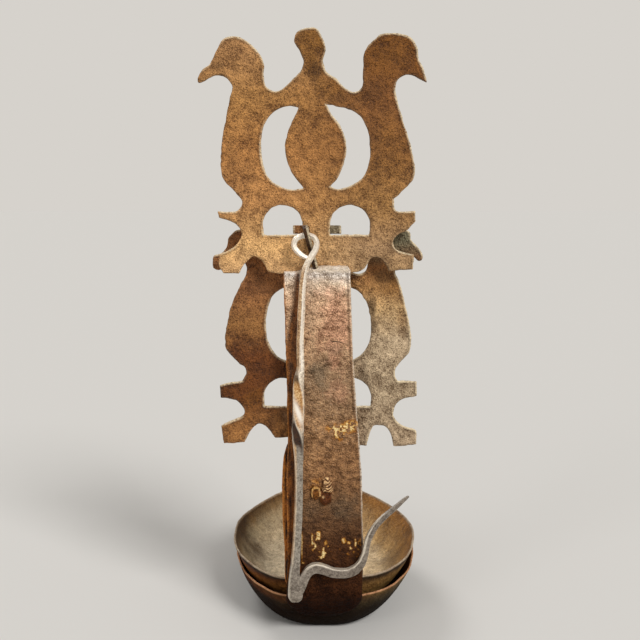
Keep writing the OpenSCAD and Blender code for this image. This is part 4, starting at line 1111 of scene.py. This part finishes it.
# The inner pan's outside goes dark just under its lip: the lip's painted shadow.
inner_side = [(0.4, "#6a3a14"), (0.7, "#8a5020"), (0.86, "#54290c"), (0.95, "#1c0e06")], [
    (0.4, "#94733f"), (0.78, "#84663a"), (0.9, "#3a2c1a"), (1, "#2a1f12")]
make_pan("pan_outer", OUTER_RIM, 0, 1, [], 91, "outer_unit", "outer_pan_iron",
         pan_iron("baked_pan_outer", 3.3, outer_in, "#e0a67c", outer_side, 0.02), "outer_pan")
make_pan("pan_inner", INNER_RIM, NEST_LIFT, 0.4, [[-41, 14, 15, 0.75], [37, 6, 12, 0.55], [30, 30, 9, 0.4], [-12, 62, 9, 0.3]],
         97, "inner_unit", "inner_pan_iron", pan_iron("oiled_pan_inner", 4.1, inner_in, "#cdbda3", inner_side, 0.1), "inner_pan")

points, faces = net(arm_field(), (-3.2, -58.6, 62.6), (1.2, -18.4, 77.4), 0.32)
piece("arm_bar", points, faces, "outer_unit", "ratchet_arm_iron", arm_iron(), ["ratchet_arm"],
      wear=np.clip((points[:, 2] - 72.6) / 0.8, 0, 1))
points, faces = net(nub_field, (-6.8, -63.4, 61), (5, -58.8, 76), 0.22)
# Painted highlights on the arm's end; its pale edges follow them.
crest = crest_mark(points)
piece("arm_end", points, faces, "outer_unit", "ratchet_arm_iron", nub_brass(), ["ratchet_arm"],
      crest=crest, wear=0.4 * crest)

points, faces = net(link_field(), (-14, -68, 163.6), (8.4, -53.8, 185.8), 0.24)
near = np.clip((-PAN_BACK - points[:, 1]) / 0.5, 0, 1)
aside = (points[:, 0] - LINK_X) * math.cos(LINK_TILT) + (points[:, 2] - LINK_Z) * math.sin(LINK_TILT)
ends = np.clip((np.abs(points[:, 0] - LINK_X - CLENCH_X) - CLENCH_W / 2 + 1) / 0.7, 0, 1)
# The near limb's right side gets a painted highlight; the clenched ends' edges are rubbed.
piece("link_loop", points, faces, "outer_unit", "hanging_link_iron", link_iron(), ["hanging_link"],
      near=near, wear=np.maximum(near * np.clip((aside - 0.15) / 0.3, 0, 1), (1 - near) * ends))

points, faces, marks = hanger_mesh()
piece("hanger_bar", points, faces, "hanger", "hanger_steel", hanger_steel(), ["hanger"], **marks)


# Room, lamps and camera

def soft_sun(name, towards, strength):
    """A broad distant lamp that shines from a direction."""
    lamp = bpy.data.lights.new(name, "SUN")
    lamp.energy, lamp.angle = strength, 0.35
    made = bpy.data.objects.new(name, lamp)
    bpy.context.scene.collection.objects.link(made)
    made.rotation_euler = Vector(towards).to_track_quat("Z", "Y").to_euler()


floor_mesh = bpy.data.meshes.new("floor")
reach = 6.0
floor_mesh.from_pydata([(-reach, -reach, 0), (reach, -reach, 0), (reach, reach, 0), (-reach, reach, 0)], [],
                       [(0, 1, 2, 3)])
floor = bpy.data.objects.new("floor", floor_mesh)
bpy.context.scene.collection.objects.link(floor)
paper, tree, shader = blank("pale_paper")
shader.inputs["Base Color"].default_value = linear("#d9d6d1")
shader.inputs["Roughness"].default_value = 1.0
shader.inputs["Specular IOR Level"].default_value = 0.0
floor_mesh.materials.append(paper)

world = bpy.data.worlds.new("studio")
bpy.context.scene.world = world
world.use_nodes = True
tree = world.node_tree
tree.nodes.clear()
rays = add(tree, "LightPath").outputs
seen = add(tree, "Math", {0: rays["Is Camera Ray"], 1: rays["Is Glossy Ray"]}, operation="MAXIMUM").outputs[0]
seen = add(tree, "Math", {0: seen, 1: rays["Is Transmission Ray"]}, operation="MAXIMUM").outputs[0]
backdrop = add(tree, "Background", {"Color": linear("#d6d2cc"), "Strength": 1.0}).outputs[0]
ambient = add(tree, "Background", {"Color": linear("#fdfbf8"), "Strength": 0.33}).outputs[0]
sky = add(tree, "MixShader", {0: seen, 1: ambient, 2: backdrop}).outputs[0]
add(tree, "OutputWorld", {0: sky})

soft_sun("key", (0.438, -0.657, 0.613), 2.15)
soft_sun("fill", (-0.6, -0.7, 0.4), 0.35)
soft_sun("back", (-0.4, 0.8, 0.6), 1.0)

camera = bpy.data.cameras.new("camera")
camera.lens, camera.sensor_width = 56.25, 36
eye = bpy.data.objects.new("camera", camera)
bpy.context.scene.collection.objects.link(eye)
eye.location = (-0.0016, -0.4796, 0.203)
eye.rotation_euler = (math.radians(90 - 8), 0, 0)
bpy.context.scene.camera = eye
bpy.context.scene.view_settings.view_transform = "Standard"
